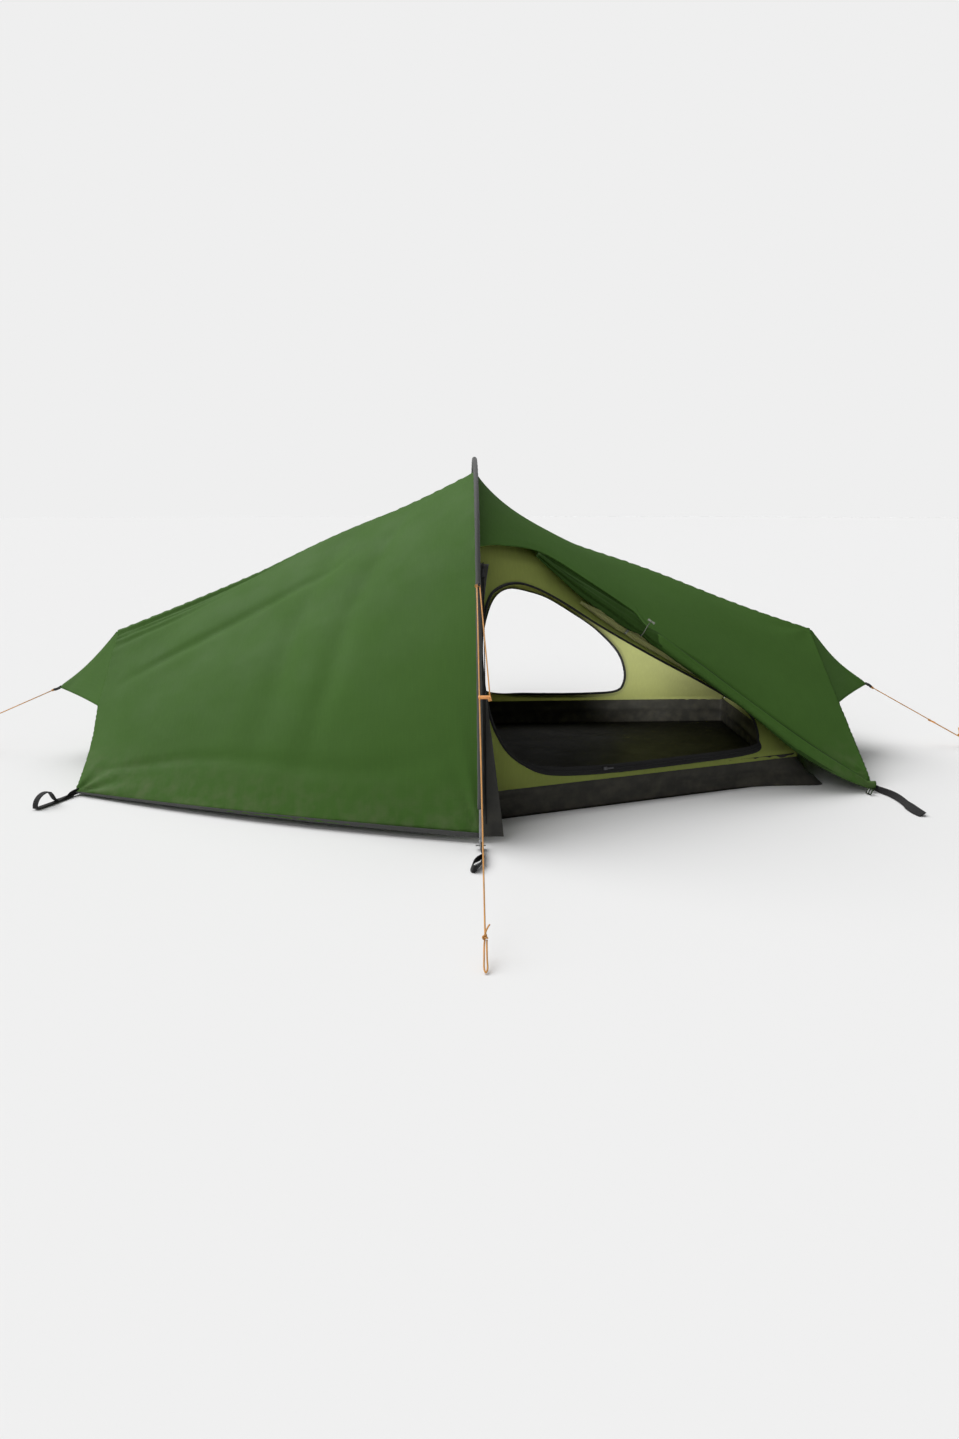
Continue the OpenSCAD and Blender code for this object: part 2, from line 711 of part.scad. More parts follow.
// ---- guylines ----
// A guyline runs straight from its loop to the peg and ends in a knotted loop round the peg.
// Its route is given as [distance along the line, distance to one side].
guy_loop_len = 80;
function guy_route(length) = [
    [0, 0], [length * 0.25, 0], [length * 0.5, 0], [length * 0.75, 0], [length - 80, 0],
    [length - 62, -4], [length - 35, -7], [length - 12, -6], [length - 3, 0], [length - 12, 6],
    [length - 35, 7], [length - 62, 5], [length - 74, 4.2]];

guy_slope = 51.5;              // where the near and far lines leave the pole
guy_stand = 20;                // the webbing loop holds the line this far outside the pole
guy_x = -4;                    // the line runs this far to the left of the pole
peg_z = 2;
near_guy_top = let (a = pole_at(-guy_slope, -guy_stand)) [guy_x, a[0], a[1]];
near_guy_peg = [guy_x, -side_peg_y, peg_z];
function hood_tip(strut_x) = [strut_x + hood_reach, 0, hood_z];
tab_len = 24;
function end_guy_peg(strut_x, reach) = [strut_x + hood_reach + reach, 0, peg_z];
function end_guy_top(strut_x, reach) =
    hood_tip(strut_x) + tab_len * unit(end_guy_peg(strut_x, reach) - hood_tip(strut_x));

module guyline(top, peg, side) {
    length = norm(peg - top);
    along = unit(peg - top);
    route = [for (q = guy_route(length)) top + q[0] * along + q[1] * side];
    swept(route, [for (q = route) guy_d / 2], 8, cross(along, side));
}

module near_guyline()
    color(orange) guyline(near_guy_top, near_guy_peg, [1, 0, 0]);
module far_guyline()
    mirror([0, 1, 0]) near_guyline();
module end_guyline(strut_x, reach)
    guyline(end_guy_top(strut_x, reach), end_guy_peg(strut_x, reach), [0, 1, 0]);
module right_guyline()
    color(orange) end_guyline(right_strut_x, right_peg_reach);
module left_guyline()
    color(orange) mirror([1, 0, 0]) end_guyline(left_strut_x, left_peg_reach);

// The slider sits this far along each line
side_slider_at = 0.37;
end_slider_at = 0.60;
slider_h = 7;
slider_t = 6;

// Body of a slider: a bar with two holes, the first of them on the line
module line_slider(top, peg, side, part_way) {
    along = unit(peg - top);
    across = cross(along, side);
    middle = top + along * norm(peg - top) * part_way;
    multmatrix([[side[0], across[0], along[0], middle[0]],
                [side[1], across[1], along[1], middle[1]],
                [side[2], across[2], along[2], middle[2]]])
        translate([0, 0, -slider_h / 2])
            difference() {
                linear_extrude(slider_h) {
                    translate([0, -slider_t / 2]) square([slider_holes, slider_t]);
                    circle(d = slider_t);
                    translate([slider_holes, 0]) circle(d = slider_t);
                }
                for (x = [0, slider_holes])
                    translate([x, 0, -1]) cylinder(d = guy_d + 0.5, h = slider_h + 2);
            }
}

module near_guy_slider()
    color(orange) line_slider(near_guy_top, near_guy_peg, [1, 0, 0], side_slider_at);
module far_guy_slider()
    mirror([0, 1, 0]) near_guy_slider();
module end_guy_slider(strut_x, reach)
    line_slider(end_guy_top(strut_x, reach), end_guy_peg(strut_x, reach), [0, 1, 0], end_slider_at);
module right_guy_slider()
    color(orange) end_guy_slider(right_strut_x, right_peg_reach);
module left_guy_slider()
    color(orange) mirror([1, 0, 0]) end_guy_slider(left_strut_x, left_peg_reach);

// The second strand of each line: from the webbing loop down to the slider on the side lines,
// and from the knot at the peg up to the slider on the end lines
module return_strand(top, peg, side, from, to) {
    along = unit(peg - top);
    a = top + from[0] * along + from[1] * side;
    b = top + to[0] * along + to[1] * side;
    swept([for (i = [0:4]) a + (b - a) * i / 4], [for (i = [0:4]) guy_d / 2], 8, cross(along, side));
}

module near_return()
    let (length = norm(near_guy_peg - near_guy_top))
        return_strand(near_guy_top, near_guy_peg, [1, 0, 0], [0, -2 * guy_x],
                      [length * side_slider_at - slider_h / 2 - 0.5, slider_holes]);
module end_return(strut_x, reach)
    let (top = end_guy_top(strut_x, reach), peg = end_guy_peg(strut_x, reach), length = norm(peg - top))
        return_strand(top, peg, [0, 1, 0], [length - guy_loop_len, 6],
                      [length * end_slider_at + slider_h / 2 + 0.5, slider_holes]);

module guyline_returns()
    color(orange) {
        near_return();
        mirror([0, 1, 0]) near_return();
        end_return(right_strut_x, right_peg_reach);
        mirror([1, 0, 0]) end_return(left_strut_x, left_peg_reach);
    }

// ---- webbing ----
web_t = 1.6;

// A closed webbing loop seen edge on: a long ring with round ends, from x = 0 to x = length
module webbing_outline(length, width) {
    difference() {
        union() {
            translate([width / 2, -width / 2]) square([length - width, width]);
            for (x = [width / 2, length - width / 2]) translate([x, 0]) circle(d = width);
        }
        union() {
            translate([width / 2, -width / 2 + web_t]) square([length - width, width - 2 * web_t]);
            for (x = [width / 2, length - width / 2]) translate([x, 0]) circle(d = width - 2 * web_t);
        }
    }
}

// Loops that hold the tops of the four guylines
near_loop_w = 4.8;
end_loop_start = 3;
end_loop_gap = 0.3;            // left between the end of a loop and its line
module near_guy_loop() {
    a = pole_at(-guy_slope, -sleeve_d / 2 - 0.3);
    translate([-near_loop_w / 2, a[0], a[1]])
        rotate([guy_slope, 0, 0])
            rotate([0, -90, 0])
                mirror([0, 0, 1])
                    linear_extrude(near_loop_w)
                        webbing_outline(22, 12);
}

module end_guy_loop(strut_x, reach) {
    along = unit(end_guy_peg(strut_x, reach) - hood_tip(strut_x));
    translate(hood_tip(strut_x) + end_loop_start * along)
        rotate([0, atan2(-along[2], along[0]), 0])
            translate([0, 0, -6])
                linear_extrude(12)
                    webbing_outline(tab_len - end_loop_start - end_loop_gap, 9);
}

module guy_loops()
    color(dark_grey) {
        near_guy_loop();
        mirror([0, 1, 0]) near_guy_loop();
        end_guy_loop(right_strut_x, right_peg_reach);
        mirror([1, 0, 0]) end_guy_loop(left_strut_x, left_peg_reach);
    }

// Loops for the pegs at the four corners and at the two feet of the pole, standing on edge
left_strap_turn = 67;          // the straps point this far round from the ridge's line
right_strap_turn = 81;
left_strap_len = 140;
right_strap_len = 235;
corner_loop_w = 22;
foot_loop_len = 140;
foot_loop_w = 18;
foot_loop_turn = 97;
loop_z = 0.6;
strap_h = 15;

module peg_loop(x, y, turn, length, width)
    translate([x, y, loop_z])
        rotate([0, 0, -turn])
            linear_extrude(strap_h)
                webbing_outline(length, width);

module near_peg_straps() {
    peg_loop(corner_x + 6, -corner_y - 26, right_strap_turn, right_strap_len, corner_loop_w);
    mirror([1, 0, 0])
        peg_loop(corner_x + 2, -corner_y - 18, left_strap_turn, left_strap_len, corner_loop_w);
    peg_loop(4, -pole_reach - 18, foot_loop_turn, foot_loop_len, foot_loop_w);
}

module peg_straps()
    color("#1f1f21") {
        near_peg_straps();
        mirror([0, 1, 0]) near_peg_straps();
    }

// Eyelets in the webbing under the sleeve, which hold the tips of the pole
eyelet_slope = tip_angle + 0.5;
module near_foot_eyelet() {
    a = pole_at(-eyelet_slope);
    translate([0, a[0], a[1]])
        rotate([-(90 - eyelet_slope), 0, 0])
            difference() {
                union() {
                    cylinder(d = 15, h = 3, center = true);
                    cube([26, 22, 1.6], center = true);
                }
                cylinder(d = pin_d + 0.5, h = 20, center = true);
            }
}

module foot_eyelets()
    color(metal) {
        near_foot_eyelet();
        mirror([0, 1, 0]) near_foot_eyelet();
    }

// Ladder buckles that tighten the right-hand corners
buckle_l = 24;
buckle_w = 20;
buckle_t = 3.6;
module right_near_buckle()
    color("#6d6f72")
        translate([corner_x - 30, -corner_y - 46, 10])
            rotate([0, 0, -right_strap_turn + 12])
                rotate([62, 0, 0])
                    difference() {
                        translate([-buckle_l / 2, -buckle_w / 2, 0]) cube([buckle_l, buckle_w, buckle_t]);
                        for (x = [-7.5, 1.5])
                            translate([x, -buckle_w / 2 + 3, -1]) cube([6, buckle_w - 6, buckle_t + 2]);
                    }

module right_far_buckle()
    mirror([0, 1, 0]) right_near_buckle();

for (i = [1:7])
    pole_section(i);
pole_ferrules();
pole_shock_cord();
pole_tips();
pole_sleeve();
end_struts();
strut_caps();
strut_sleeves();
fly_left_near();
fly_left_far();
fly_right_near();
fly_right_far();
left_hood();
right_hood();
left_end_panel();
right_end_panel();
end_vent_meshes();
near_door_roll();
far_door_roll();
door_zip_flaps();
near_door_slider();
far_door_slider();
near_door_toggle();
far_door_toggle();
door_tie_loops();
hem_bindings();
groundsheet();
bathtub_walls();
inner_left_near();
inner_left_far();
inner_right_near();
inner_right_far();
inner_left_end();
inner_right_end();
inner_door_rolls();
inner_door_zips();
near_inner_slider();
far_inner_slider();
inner_hangers();
near_guyline();
far_guyline();
left_guyline();
right_guyline();
guyline_returns();
near_guy_slider();
far_guy_slider();
left_guy_slider();
right_guy_slider();
guy_loops();
peg_straps();
foot_eyelets();
right_near_buckle();
right_far_buckle();
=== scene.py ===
import json
import math

import bmesh
import bpy
import numpy as np
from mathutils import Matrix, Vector


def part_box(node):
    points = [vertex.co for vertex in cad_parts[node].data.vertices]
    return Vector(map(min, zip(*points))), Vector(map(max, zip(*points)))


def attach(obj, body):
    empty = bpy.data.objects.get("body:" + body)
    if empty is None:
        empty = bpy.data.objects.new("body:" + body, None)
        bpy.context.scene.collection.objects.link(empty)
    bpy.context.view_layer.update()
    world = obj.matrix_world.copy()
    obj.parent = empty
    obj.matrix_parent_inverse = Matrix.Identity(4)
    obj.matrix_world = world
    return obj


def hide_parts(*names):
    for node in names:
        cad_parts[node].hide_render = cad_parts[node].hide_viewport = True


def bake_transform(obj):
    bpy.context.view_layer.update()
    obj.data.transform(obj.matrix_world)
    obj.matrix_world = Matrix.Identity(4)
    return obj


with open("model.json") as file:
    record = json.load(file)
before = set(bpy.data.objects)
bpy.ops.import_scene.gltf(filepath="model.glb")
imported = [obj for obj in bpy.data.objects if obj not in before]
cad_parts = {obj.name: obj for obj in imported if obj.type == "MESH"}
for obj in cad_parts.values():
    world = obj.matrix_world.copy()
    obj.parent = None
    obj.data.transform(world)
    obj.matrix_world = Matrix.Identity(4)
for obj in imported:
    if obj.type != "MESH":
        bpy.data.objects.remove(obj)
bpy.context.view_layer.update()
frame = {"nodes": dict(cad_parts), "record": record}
nodes = frame["nodes"]

# ---- driving dimensions, in metres and degrees: the same as the part's, but for the cord ----
CROWN_ANGLE = 46
FOOT_ANGLE = 75
POLE_D = 0.0085
POLE_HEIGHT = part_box("pole_section_4")[1][2] - POLE_D / 2
POLE_REACH = 1.050
WEB_H = 0.045
SLEEVE_D = 0.014
STRUT_TOP_Z = 0.448
LEFT_STRUT_X = 1.285
RIGHT_STRUT_X = 1.225
CORNER_X = 1.266
CORNER_Y = 0.545
HOOD_REACH = 0.228
HOOD_Z = 0.241
FLOOR_X = float(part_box("groundsheet")[1][0])
FLOOR_END_Y = 0.443
FLOOR_NEAR_Y = -float(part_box("groundsheet")[0][1])
FLOOR_FAR_Y = 0.400
BATHTUB_H = float(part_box("bathtub_walls")[1][2])
GUY_D = 0.0036                 # the part's cord is 2.8 mm, and the photo shows a thicker one
SIDE_PEG_Y = 1.720
LEFT_PEG_REACH = 0.560
RIGHT_PEG_REACH = 0.440
SLIDER_HOLES = 0.026
CLOTH_T = 0.0009
WEBBING_T = 0.0014
SIDES = (("near", -1), ("far", 1))


def sin(degrees):
    return math.sin(math.radians(degrees))


def cos(degrees):
    return math.cos(math.radians(degrees))


def unit(v):
    v = np.asarray(v, float)
    return v / np.linalg.norm(v, axis=-1, keepdims=True)


def smooth(t):
    t = np.clip(t, 0, 1)
    return t * t * (3 - 2 * t)


def bell(t):
    return np.exp(-t * t)


# ---- the pole's line: a crown arc and two flatter leg arcs ----
LEG_SPAN = sin(FOOT_ANGLE) - sin(CROWN_ANGLE)
LEG_DROP = cos(CROWN_ANGLE) - cos(FOOT_ANGLE)
DET = sin(CROWN_ANGLE) * LEG_DROP - LEG_SPAN * (1 - cos(CROWN_ANGLE))
CROWN_R = (POLE_REACH * LEG_DROP - POLE_HEIGHT * LEG_SPAN) / DET
LEG_R = (sin(CROWN_ANGLE) * POLE_HEIGHT - (1 - cos(CROWN_ANGLE)) * POLE_REACH) / DET
CROWN_Z = POLE_HEIGHT - CROWN_R
LEG_Y = -(LEG_R - CROWN_R) * sin(CROWN_ANGLE)
LEG_Z = CROWN_Z - (LEG_R - CROWN_R) * cos(CROWN_ANGLE)
TIP_ANGLE = FOOT_ANGLE - 0.9
HEM_SLOPE = FOOT_ANGLE - 1


def pole_at(slope, inset=0.0):
    """Points of the pole's plane, as y and z, at a slope in degrees and a distance inside the pole."""
    slope = np.asarray(slope, float)
    a = np.radians(slope)
    crown = np.abs(slope) <= CROWN_ANGLE
    leg_y = np.sign(slope) * (LEG_Y + (LEG_R - inset) * np.sin(np.abs(a)))
    leg_z = LEG_Z + (LEG_R - inset) * np.cos(a)
    y = np.where(crown, (CROWN_R - inset) * np.sin(a), leg_y)
    z = np.where(crown, CROWN_Z + (CROWN_R - inset) * np.cos(a), leg_z)
    return y, z


# ---- the camera, the floor and the light ----
def make_camera():
    camera = bpy.data.objects.new("camera", bpy.data.cameras.new("camera"))
    bpy.context.scene.collection.objects.link(camera)
    camera.location = (-0.050, -3.371, 0.890)
    camera.rotation_euler = (math.radians(90 - 12.99), 0, math.radians(-1.16))
    camera.data.sensor_width = 36
    camera.data.sensor_fit = "AUTO"
    camera.data.lens = 23.316
    bpy.context.scene.camera = camera


SURROUND = 0.863               # brightness of the plain surround that the camera sees


def make_world(ambient):
    world = bpy.data.worlds.new("studio")
    bpy.context.scene.world = world
    world.use_nodes = True
    tree = world.node_tree
    tree.nodes.clear()
    seen = tree.nodes.new("ShaderNodeBackground")
    seen.inputs["Color"].default_value = (SURROUND, SURROUND, SURROUND, 1)
    light = tree.nodes.new("ShaderNodeBackground")
    light.inputs["Color"].default_value = (1, 1, 1, 1)
    light.inputs["Strength"].default_value = ambient
    path = tree.nodes.new("ShaderNodeLightPath")
    mix = tree.nodes.new("ShaderNodeMixShader")
    out = tree.nodes.new("ShaderNodeOutputWorld")
    tree.links.new(path.outputs["Is Camera Ray"], mix.inputs[0])
    tree.links.new(light.outputs[0], mix.inputs[1])
    tree.links.new(seen.outputs[0], mix.inputs[2])
    tree.links.new(mix.outputs[0], out.inputs["Surface"])


def make_light(name, kind, place, aim, energy, **settings):
    data = bpy.data.lights.new(name, kind)
    data.energy = energy
    for key, value in settings.items():
        setattr(data, key, value)
    lamp = bpy.data.objects.new(name, data)
    bpy.context.scene.collection.objects.link(lamp)
    lamp.location = place
    lamp.visible_camera = False
    lamp.rotation_euler = (Vector(aim) - Vector(place)).to_track_quat("-Z", "Y").to_euler()


def make_floor(radius, albedo):
    mesh = bpy.data.meshes.new("floor")
    turn = np.linspace(0, 2 * np.pi, 65)[:-1]
    rim = [(radius * math.cos(a), radius * math.sin(a), -0.0005) for a in turn]
    mesh.from_pydata(rim, [], [tuple(range(len(rim)))])
    floor = bpy.data.objects.new("floor", mesh)
    bpy.context.scene.collection.objects.link(floor)
    material = bpy.data.materials.new("studio_floor")
    material.use_nodes = True
    shader = material.node_tree.nodes["Principled BSDF"]
    shader.inputs["Base Color"].default_value = (albedo, albedo, albedo, 1)
    shader.inputs["Roughness"].default_value = 1.0
    shader.inputs["Specular IOR Level"].default_value = 0.0
    mesh.materials.append(material)


bpy.context.scene.view_settings.view_transform = "Standard"
make_camera()
make_world(ambient=0.15)
make_light("key", "SUN", (-0.55, 0.28, 0.79), (0, 0, 0), 2.74, angle=math.radians(54))
make_light("behind", "SUN", (0.10, 0.52, 0.85), (0, 0, 0), 0.56, angle=math.radians(40))
make_light("fill", "SUN", (-0.45, -0.72, 0.53), (0, 0, 0), 0.60, angle=math.radians(40))
make_light("inside", "SPOT", (0.42, -0.36, 0.24), (0.82, 0.42, 0.33), 42, spot_size=math.radians(58),
           spot_blend=1.0, shadow_soft_size=0.08)
make_floor(radius=70, albedo=0.80)


# ---- materials ----
class Shader:
    """A material's node tree, with short calls for the nodes that the materials below share."""

    def __init__(self, name):
        self.material = bpy.data.materials.new(name)
        self.material.use_nodes = True
        self.tree = self.material.node_tree
        self.principled = self.tree.nodes["Principled BSDF"]
        self.out = self.tree.nodes["Material Output"]

    def node(self, kind, **settings):
        made = self.tree.nodes.new("ShaderNode" + kind)
        for key, value in settings.items():
            setattr(made, key, value)
        return made

    def feed(self, value, socket):
        if isinstance(value, bpy.types.NodeSocket):
            self.tree.links.new(value, socket)
        else:
            socket.default_value = value

    def set(self, **values):
        for key, value in values.items():
            self.feed(value, self.principled.inputs[key.replace("_", " ")])

    def coords(self, kind):
        return self.node("TexCoord").outputs[kind]

    def axis(self, vector, name):
        split = self.node("SeparateXYZ")
        self.feed(vector, split.inputs[0])
        return split.outputs[name]

    def math(self, operation, a, b=0.0):
        made = self.node("Math", operation=operation)
        self.feed(a, made.inputs[0])
        self.feed(b, made.inputs[1])
        return made.outputs[0]

    def noise(self, vector, scale, detail=2.0, stretch=(1, 1, 1)):
        place = self.node("Mapping")
        self.feed(vector, place.inputs["Vector"])
        place.inputs["Scale"].default_value = stretch
        made = self.node("TexNoise")
        self.feed(place.outputs[0], made.inputs["Vector"])
        made.inputs["Scale"].default_value = scale
        made.inputs["Detail"].default_value = detail
        return made.outputs["Fac"]

    def ramp(self, value, low, high, to_low, to_high):
        made = self.node("MapRange")
        self.feed(value, made.inputs["Value"])
        for key, number in (("From Min", low), ("From Max", high), ("To Min", to_low), ("To Max", to_high)):
            made.inputs[key].default_value = number
        return made.outputs[0]

    def mix(self, factor, a, b):
        made = self.node("Mix", data_type="RGBA")
        self.feed(factor, made.inputs["Factor"])
        self.feed(a if isinstance(a, bpy.types.NodeSocket) else (*a, 1), made.inputs["A"])
        self.feed(b if isinstance(b, bpy.types.NodeSocket) else (*b, 1), made.inputs["B"])
        return made.outputs["Result"]

    def stripes(self, position, period):
        """A wave from 0 to 1 that repeats every period metres of position."""
        wave = self.math("SINE", self.math("MULTIPLY", position, 2 * math.pi / period))
        return self.math("ADD", self.math("MULTIPLY", wave, 0.5), 0.5)

    def bump(self, height, distance, strength=1.0, under=None):
        made = self.node("Bump")
        self.feed(height, made.inputs["Height"])
        made.inputs["Distance"].default_value = distance
        made.inputs["Strength"].default_value = strength
        if under is not None:
            self.feed(under, made.inputs["Normal"])
        return made.outputs[0]

    def lit_through(self, share, colour):
        """Lets a share of the light behind thin cloth through it."""
        glow = self.node("BsdfTranslucent")
        self.feed(colour, glow.inputs["Color"])
        mix = self.node("MixShader")
        mix.inputs[0].default_value = share
        self.tree.links.new(self.principled.outputs[0], mix.inputs[1])
        self.tree.links.new(glow.outputs[0], mix.inputs[2])
        self.tree.links.new(mix.outputs[0], self.out.inputs["Surface"])


def shade(colour, factor):
    return tuple(min(1.0, c * factor) for c in colour)


def cloth(name, colour, vary, weave, roughness, sheen, through=0.0, ripstop=0.0, dust=0.0):
    """Woven cloth laid out by its UV map in metres: threads, a ripstop grid, soft creases and fading."""
    s = Shader(name)
    uv = s.coords("UV")
    where = s.coords("Object")
    along = s.axis(uv, "X")
    across = s.axis(uv, "Y")
    threads = s.math("ADD", s.stripes(along, weave), s.stripes(across, weave))
    tone = s.noise(where, 3.1, 3.0)
    colour_now = s.mix(s.ramp(tone, 0.3, 0.7, 0.0, 1.0), shade(colour, 1 - vary), shade(colour, 1 + vary))
    slub = s.noise(uv, 160, 2.0, (1, 0.12, 1))
    colour_now = s.mix(s.ramp(slub, 0.45, 0.8, 0.0, 0.28), colour_now, shade(colour, 1.25))
    height = s.math("MULTIPLY", threads, 0.5)
    if ripstop:
        grid = s.math("MAXIMUM", s.stripes(along, ripstop), s.stripes(across, ripstop))
        cord = s.math("POWER", grid, 40.0)
        height = s.math("ADD", height, cord)
        colour_now = s.mix(s.math("MULTIPLY", cord, 0.22), colour_now, shade(colour, 1.4))
    if dust:
        low = s.ramp(s.axis(where, "Z"), 0.0, 0.16, 1.0, 0.0)
        dusty = s.math("MULTIPLY", low, s.ramp(s.noise(where, 26, 4.0), 0.4, 0.75, 0.0, dust))
        colour_now = s.mix(dusty, colour_now, (0.30, 0.27, 0.20))
    creases = s.bump(s.noise(where, 16, 4.0), 0.0035, 0.35)
    normal = s.bump(height, weave * 0.25, 0.30, creases)
    rough = s.ramp(s.noise(where, 8, 3.0), 0.3, 0.7, roughness - 0.07, roughness + 0.07)
    s.set(Base_Color=colour_now, Roughness=rough, Normal=normal, Sheen_Weight=sheen, Sheen_Roughness=0.45)
    s.set(Specular_IOR_Level=0.10)
    if through:
        s.lit_through(through, colour_now)
    return s.material


def webbing(name, colour, rib=0.0016):
    """Narrow woven tape, with ribs across it."""
    s = Shader(name)
    uv = s.coords("UV")
    along = s.axis(uv, "X")
    across = s.axis(uv, "Y")
    ribs = s.stripes(s.math("ADD", along, s.math("MULTIPLY", across, 0.6)), rib)
    cross = s.stripes(s.math("SUBTRACT", along, s.math("MULTIPLY", across, 0.6)), rib)
    fuzz = s.noise(s.coords("Object"), 420, 2.0)
    # the tone is darker in the rib hollows, as painted shade, and varies at random with the fuzz
    tone = s.math("ADD", s.math("MULTIPLY", ribs, 0.5), s.math("MULTIPLY", fuzz, 0.6))
    colour_now = s.mix(s.ramp(tone, 0.2, 0.95, 0.0, 1.0), shade(colour, 0.62), shade(colour, 1.5))
    height = s.math("MAXIMUM", ribs, cross)
    s.set(Base_Color=colour_now, Roughness=s.ramp(fuzz, 0.3, 0.7, 0.67, 0.85))
    s.set(Normal=s.bump(height, rib * 0.25, 0.5), Sheen_Weight=0.06, Sheen_Roughness=0.5)
    s.set(Specular_IOR_Level=0.25)
    return s.material


def mesh_cloth(name, colour):
    """Fine insect mesh with threads 1.2 mm apart; the holes between them are painted near black, as painted
    shade of the inside seen through them.
    """
    s = Shader(name)
    uv = s.coords("UV")
    grid = s.math("MAXIMUM", s.stripes(s.axis(uv, "X"), 0.0012), s.stripes(s.axis(uv, "Y"), 0.0012))
    thread = s.math("POWER", grid, 3.0)
    tone = s.noise(s.coords("Object"), 9, 2.0)
    mesh = s.mix(s.ramp(tone, 0.3, 0.7, 0.0, 1.0), shade(colour, 0.8), shade(colour, 1.2))
    # painted shade: the holes between the threads take a near black tone
    s.set(Base_Color=s.mix(thread, shade(colour, 0.15), mesh), Roughness=s.ramp(tone, 0.3, 0.7, 0.6, 0.8))
    s.set(Normal=s.bump(thread, 0.0002, 0.5))
    return s.material


def braid(name, colour, fleck):
    """Braided cord laid out by its UV map: X along the cord and Y once round it."""
    s = Shader(name)
    uv = s.coords("UV")
    along = s.math("MULTIPLY", s.axis(uv, "X"), 2 * math.pi / 0.0042)
    around = s.math("MULTIPLY", s.axis(uv, "Y"), 2 * math.pi * 4)
    left = s.math("SINE", s.math("ADD", along, around))
    right = s.math("SINE", s.math("SUBTRACT", along, around))
    strands = s.math("MAXIMUM", left, right)
    wave = s.math("SINE", s.math("ADD", s.math("MULTIPLY", along, 0.25), around))
    flecked = s.math("GREATER_THAN", wave, 0.86)
    worn = s.noise(s.coords("Object"), 35, 3.0)
    base = s.mix(s.ramp(worn, 0.35, 0.75, 0.0, 1.0), shade(colour, 0.85), shade(colour, 1.15))
    # painted shade: the cord is darker between the strands
    base = s.mix(s.ramp(strands, -0.2, 0.9, 0.45, 0.0), base, shade(colour, 0.35))
    base = s.mix(s.math("MULTIPLY", flecked, 0.7), base, fleck)
    s.set(Base_Color=base, Roughness=s.ramp(worn, 0.3, 0.7, 0.55, 0.75), Sheen_Weight=0.2)
    s.set(Normal=s.bump(strands, 0.0003, 0.8))
    return s.material


def plastic(name, colour, roughness, grain):
    s = Shader(name)
    where = s.coords("Object")
    scuffs = s.noise(where, 60, 5.0)
    fine = s.noise(where, 900, 2.0)
    base = s.mix(s.ramp(scuffs, 0.35, 0.7, 0.0, 1.0), shade(colour, 0.88), shade(colour, 1.12))
    s.set(Base_Color=base, Roughness=s.ramp(scuffs, 0.3, 0.7, roughness - 0.06, roughness + 0.12))
    s.set(Normal=s.bump(fine, grain, 0.4), Coat_Weight=0.1, Coat_Roughness=0.3)
    return s.material


def metal(name, colour, roughness, brush, metallic=1.0):
    """Metal with fine lines drawn along it, dulled in patches."""
    s = Shader(name)
    where = s.coords("Object")
    lines = s.noise(where, 500, 2.0, brush)
    patches = s.noise(where, 24, 4.0)
    base = s.mix(s.ramp(patches, 0.35, 0.7, 0.0, 1.0), shade(colour, 0.82), shade(colour, 1.08))
    rough = s.ramp(patches, 0.3, 0.75, roughness - 0.05, roughness + 0.15)
    s.set(Base_Color=base, Metallic=metallic, Roughness=rough)
    s.set(Normal=s.bump(lines, 0.00008, 0.35))
    return s.material


FLY_COLOUR = (0.070, 0.160, 0.030)
OLIVE_COLOUR = (0.50, 0.52, 0.23)
MATERIALS = {
    "fly_green": cloth("fly_green", FLY_COLOUR, 0.06, 0.0007, 0.62, 0.0, through=0.22, ripstop=0.005,
                       dust=0.25),
    "inner_olive": cloth("inner_olive", OLIVE_COLOUR, 0.07, 0.0006, 0.75, 0.0, through=0.60, dust=0.1),
    # painted shade: the floor's tone of this fabric is darker than its copy on the waterproof wall, for the
    # shade on the floor inside
    "groundsheet_black": cloth("groundsheet_black", (0.008, 0.008, 0.006), 0.15, 0.0008, 0.50, 0.0,
                               dust=0.03),
    "grey_webbing": webbing("grey_webbing", (0.050, 0.050, 0.048), 0.0012),
    "black_webbing": webbing("black_webbing", (0.014, 0.014, 0.014)),
    "vent_mesh": mesh_cloth("vent_mesh", (0.085, 0.090, 0.070)),
    "zip_tape": webbing("zip_tape", (0.012, 0.012, 0.012), 0.0010),
    "guyline_orange": braid("guyline_orange", (0.84, 0.37, 0.06), (0.82, 0.52, 0.24)),
    "slider_orange": plastic("slider_orange", (0.80, 0.33, 0.08), 0.35, 0.0001),
    "elastic": braid("elastic", (0.16, 0.18, 0.13), (0.36, 0.38, 0.33)),
    "pole_alloy": metal("pole_alloy", (0.42, 0.43, 0.45), 0.32, (1, 0.05, 0.05)),
    "ferrule_alloy": metal("ferrule_alloy", (0.60, 0.61, 0.63), 0.28, (1, 1, 1)),
    "eyelet_metal": metal("eyelet_metal", (0.50, 0.50, 0.50), 0.30, (1, 1, 1)),
    "buckle_metal": metal("buckle_metal", (0.66, 0.66, 0.67), 0.16, (1, 0.1, 1)),
    "zip_metal": metal("zip_metal", (0.09, 0.09, 0.095), 0.36, (1, 0.2, 1), 0.85),
    "toggle_plastic": plastic("toggle_plastic", (0.32, 0.35, 0.28), 0.45, 0.0001),
    "cap_plastic": plastic("cap_plastic", (0.018, 0.018, 0.019), 0.40, 0.0001),
}
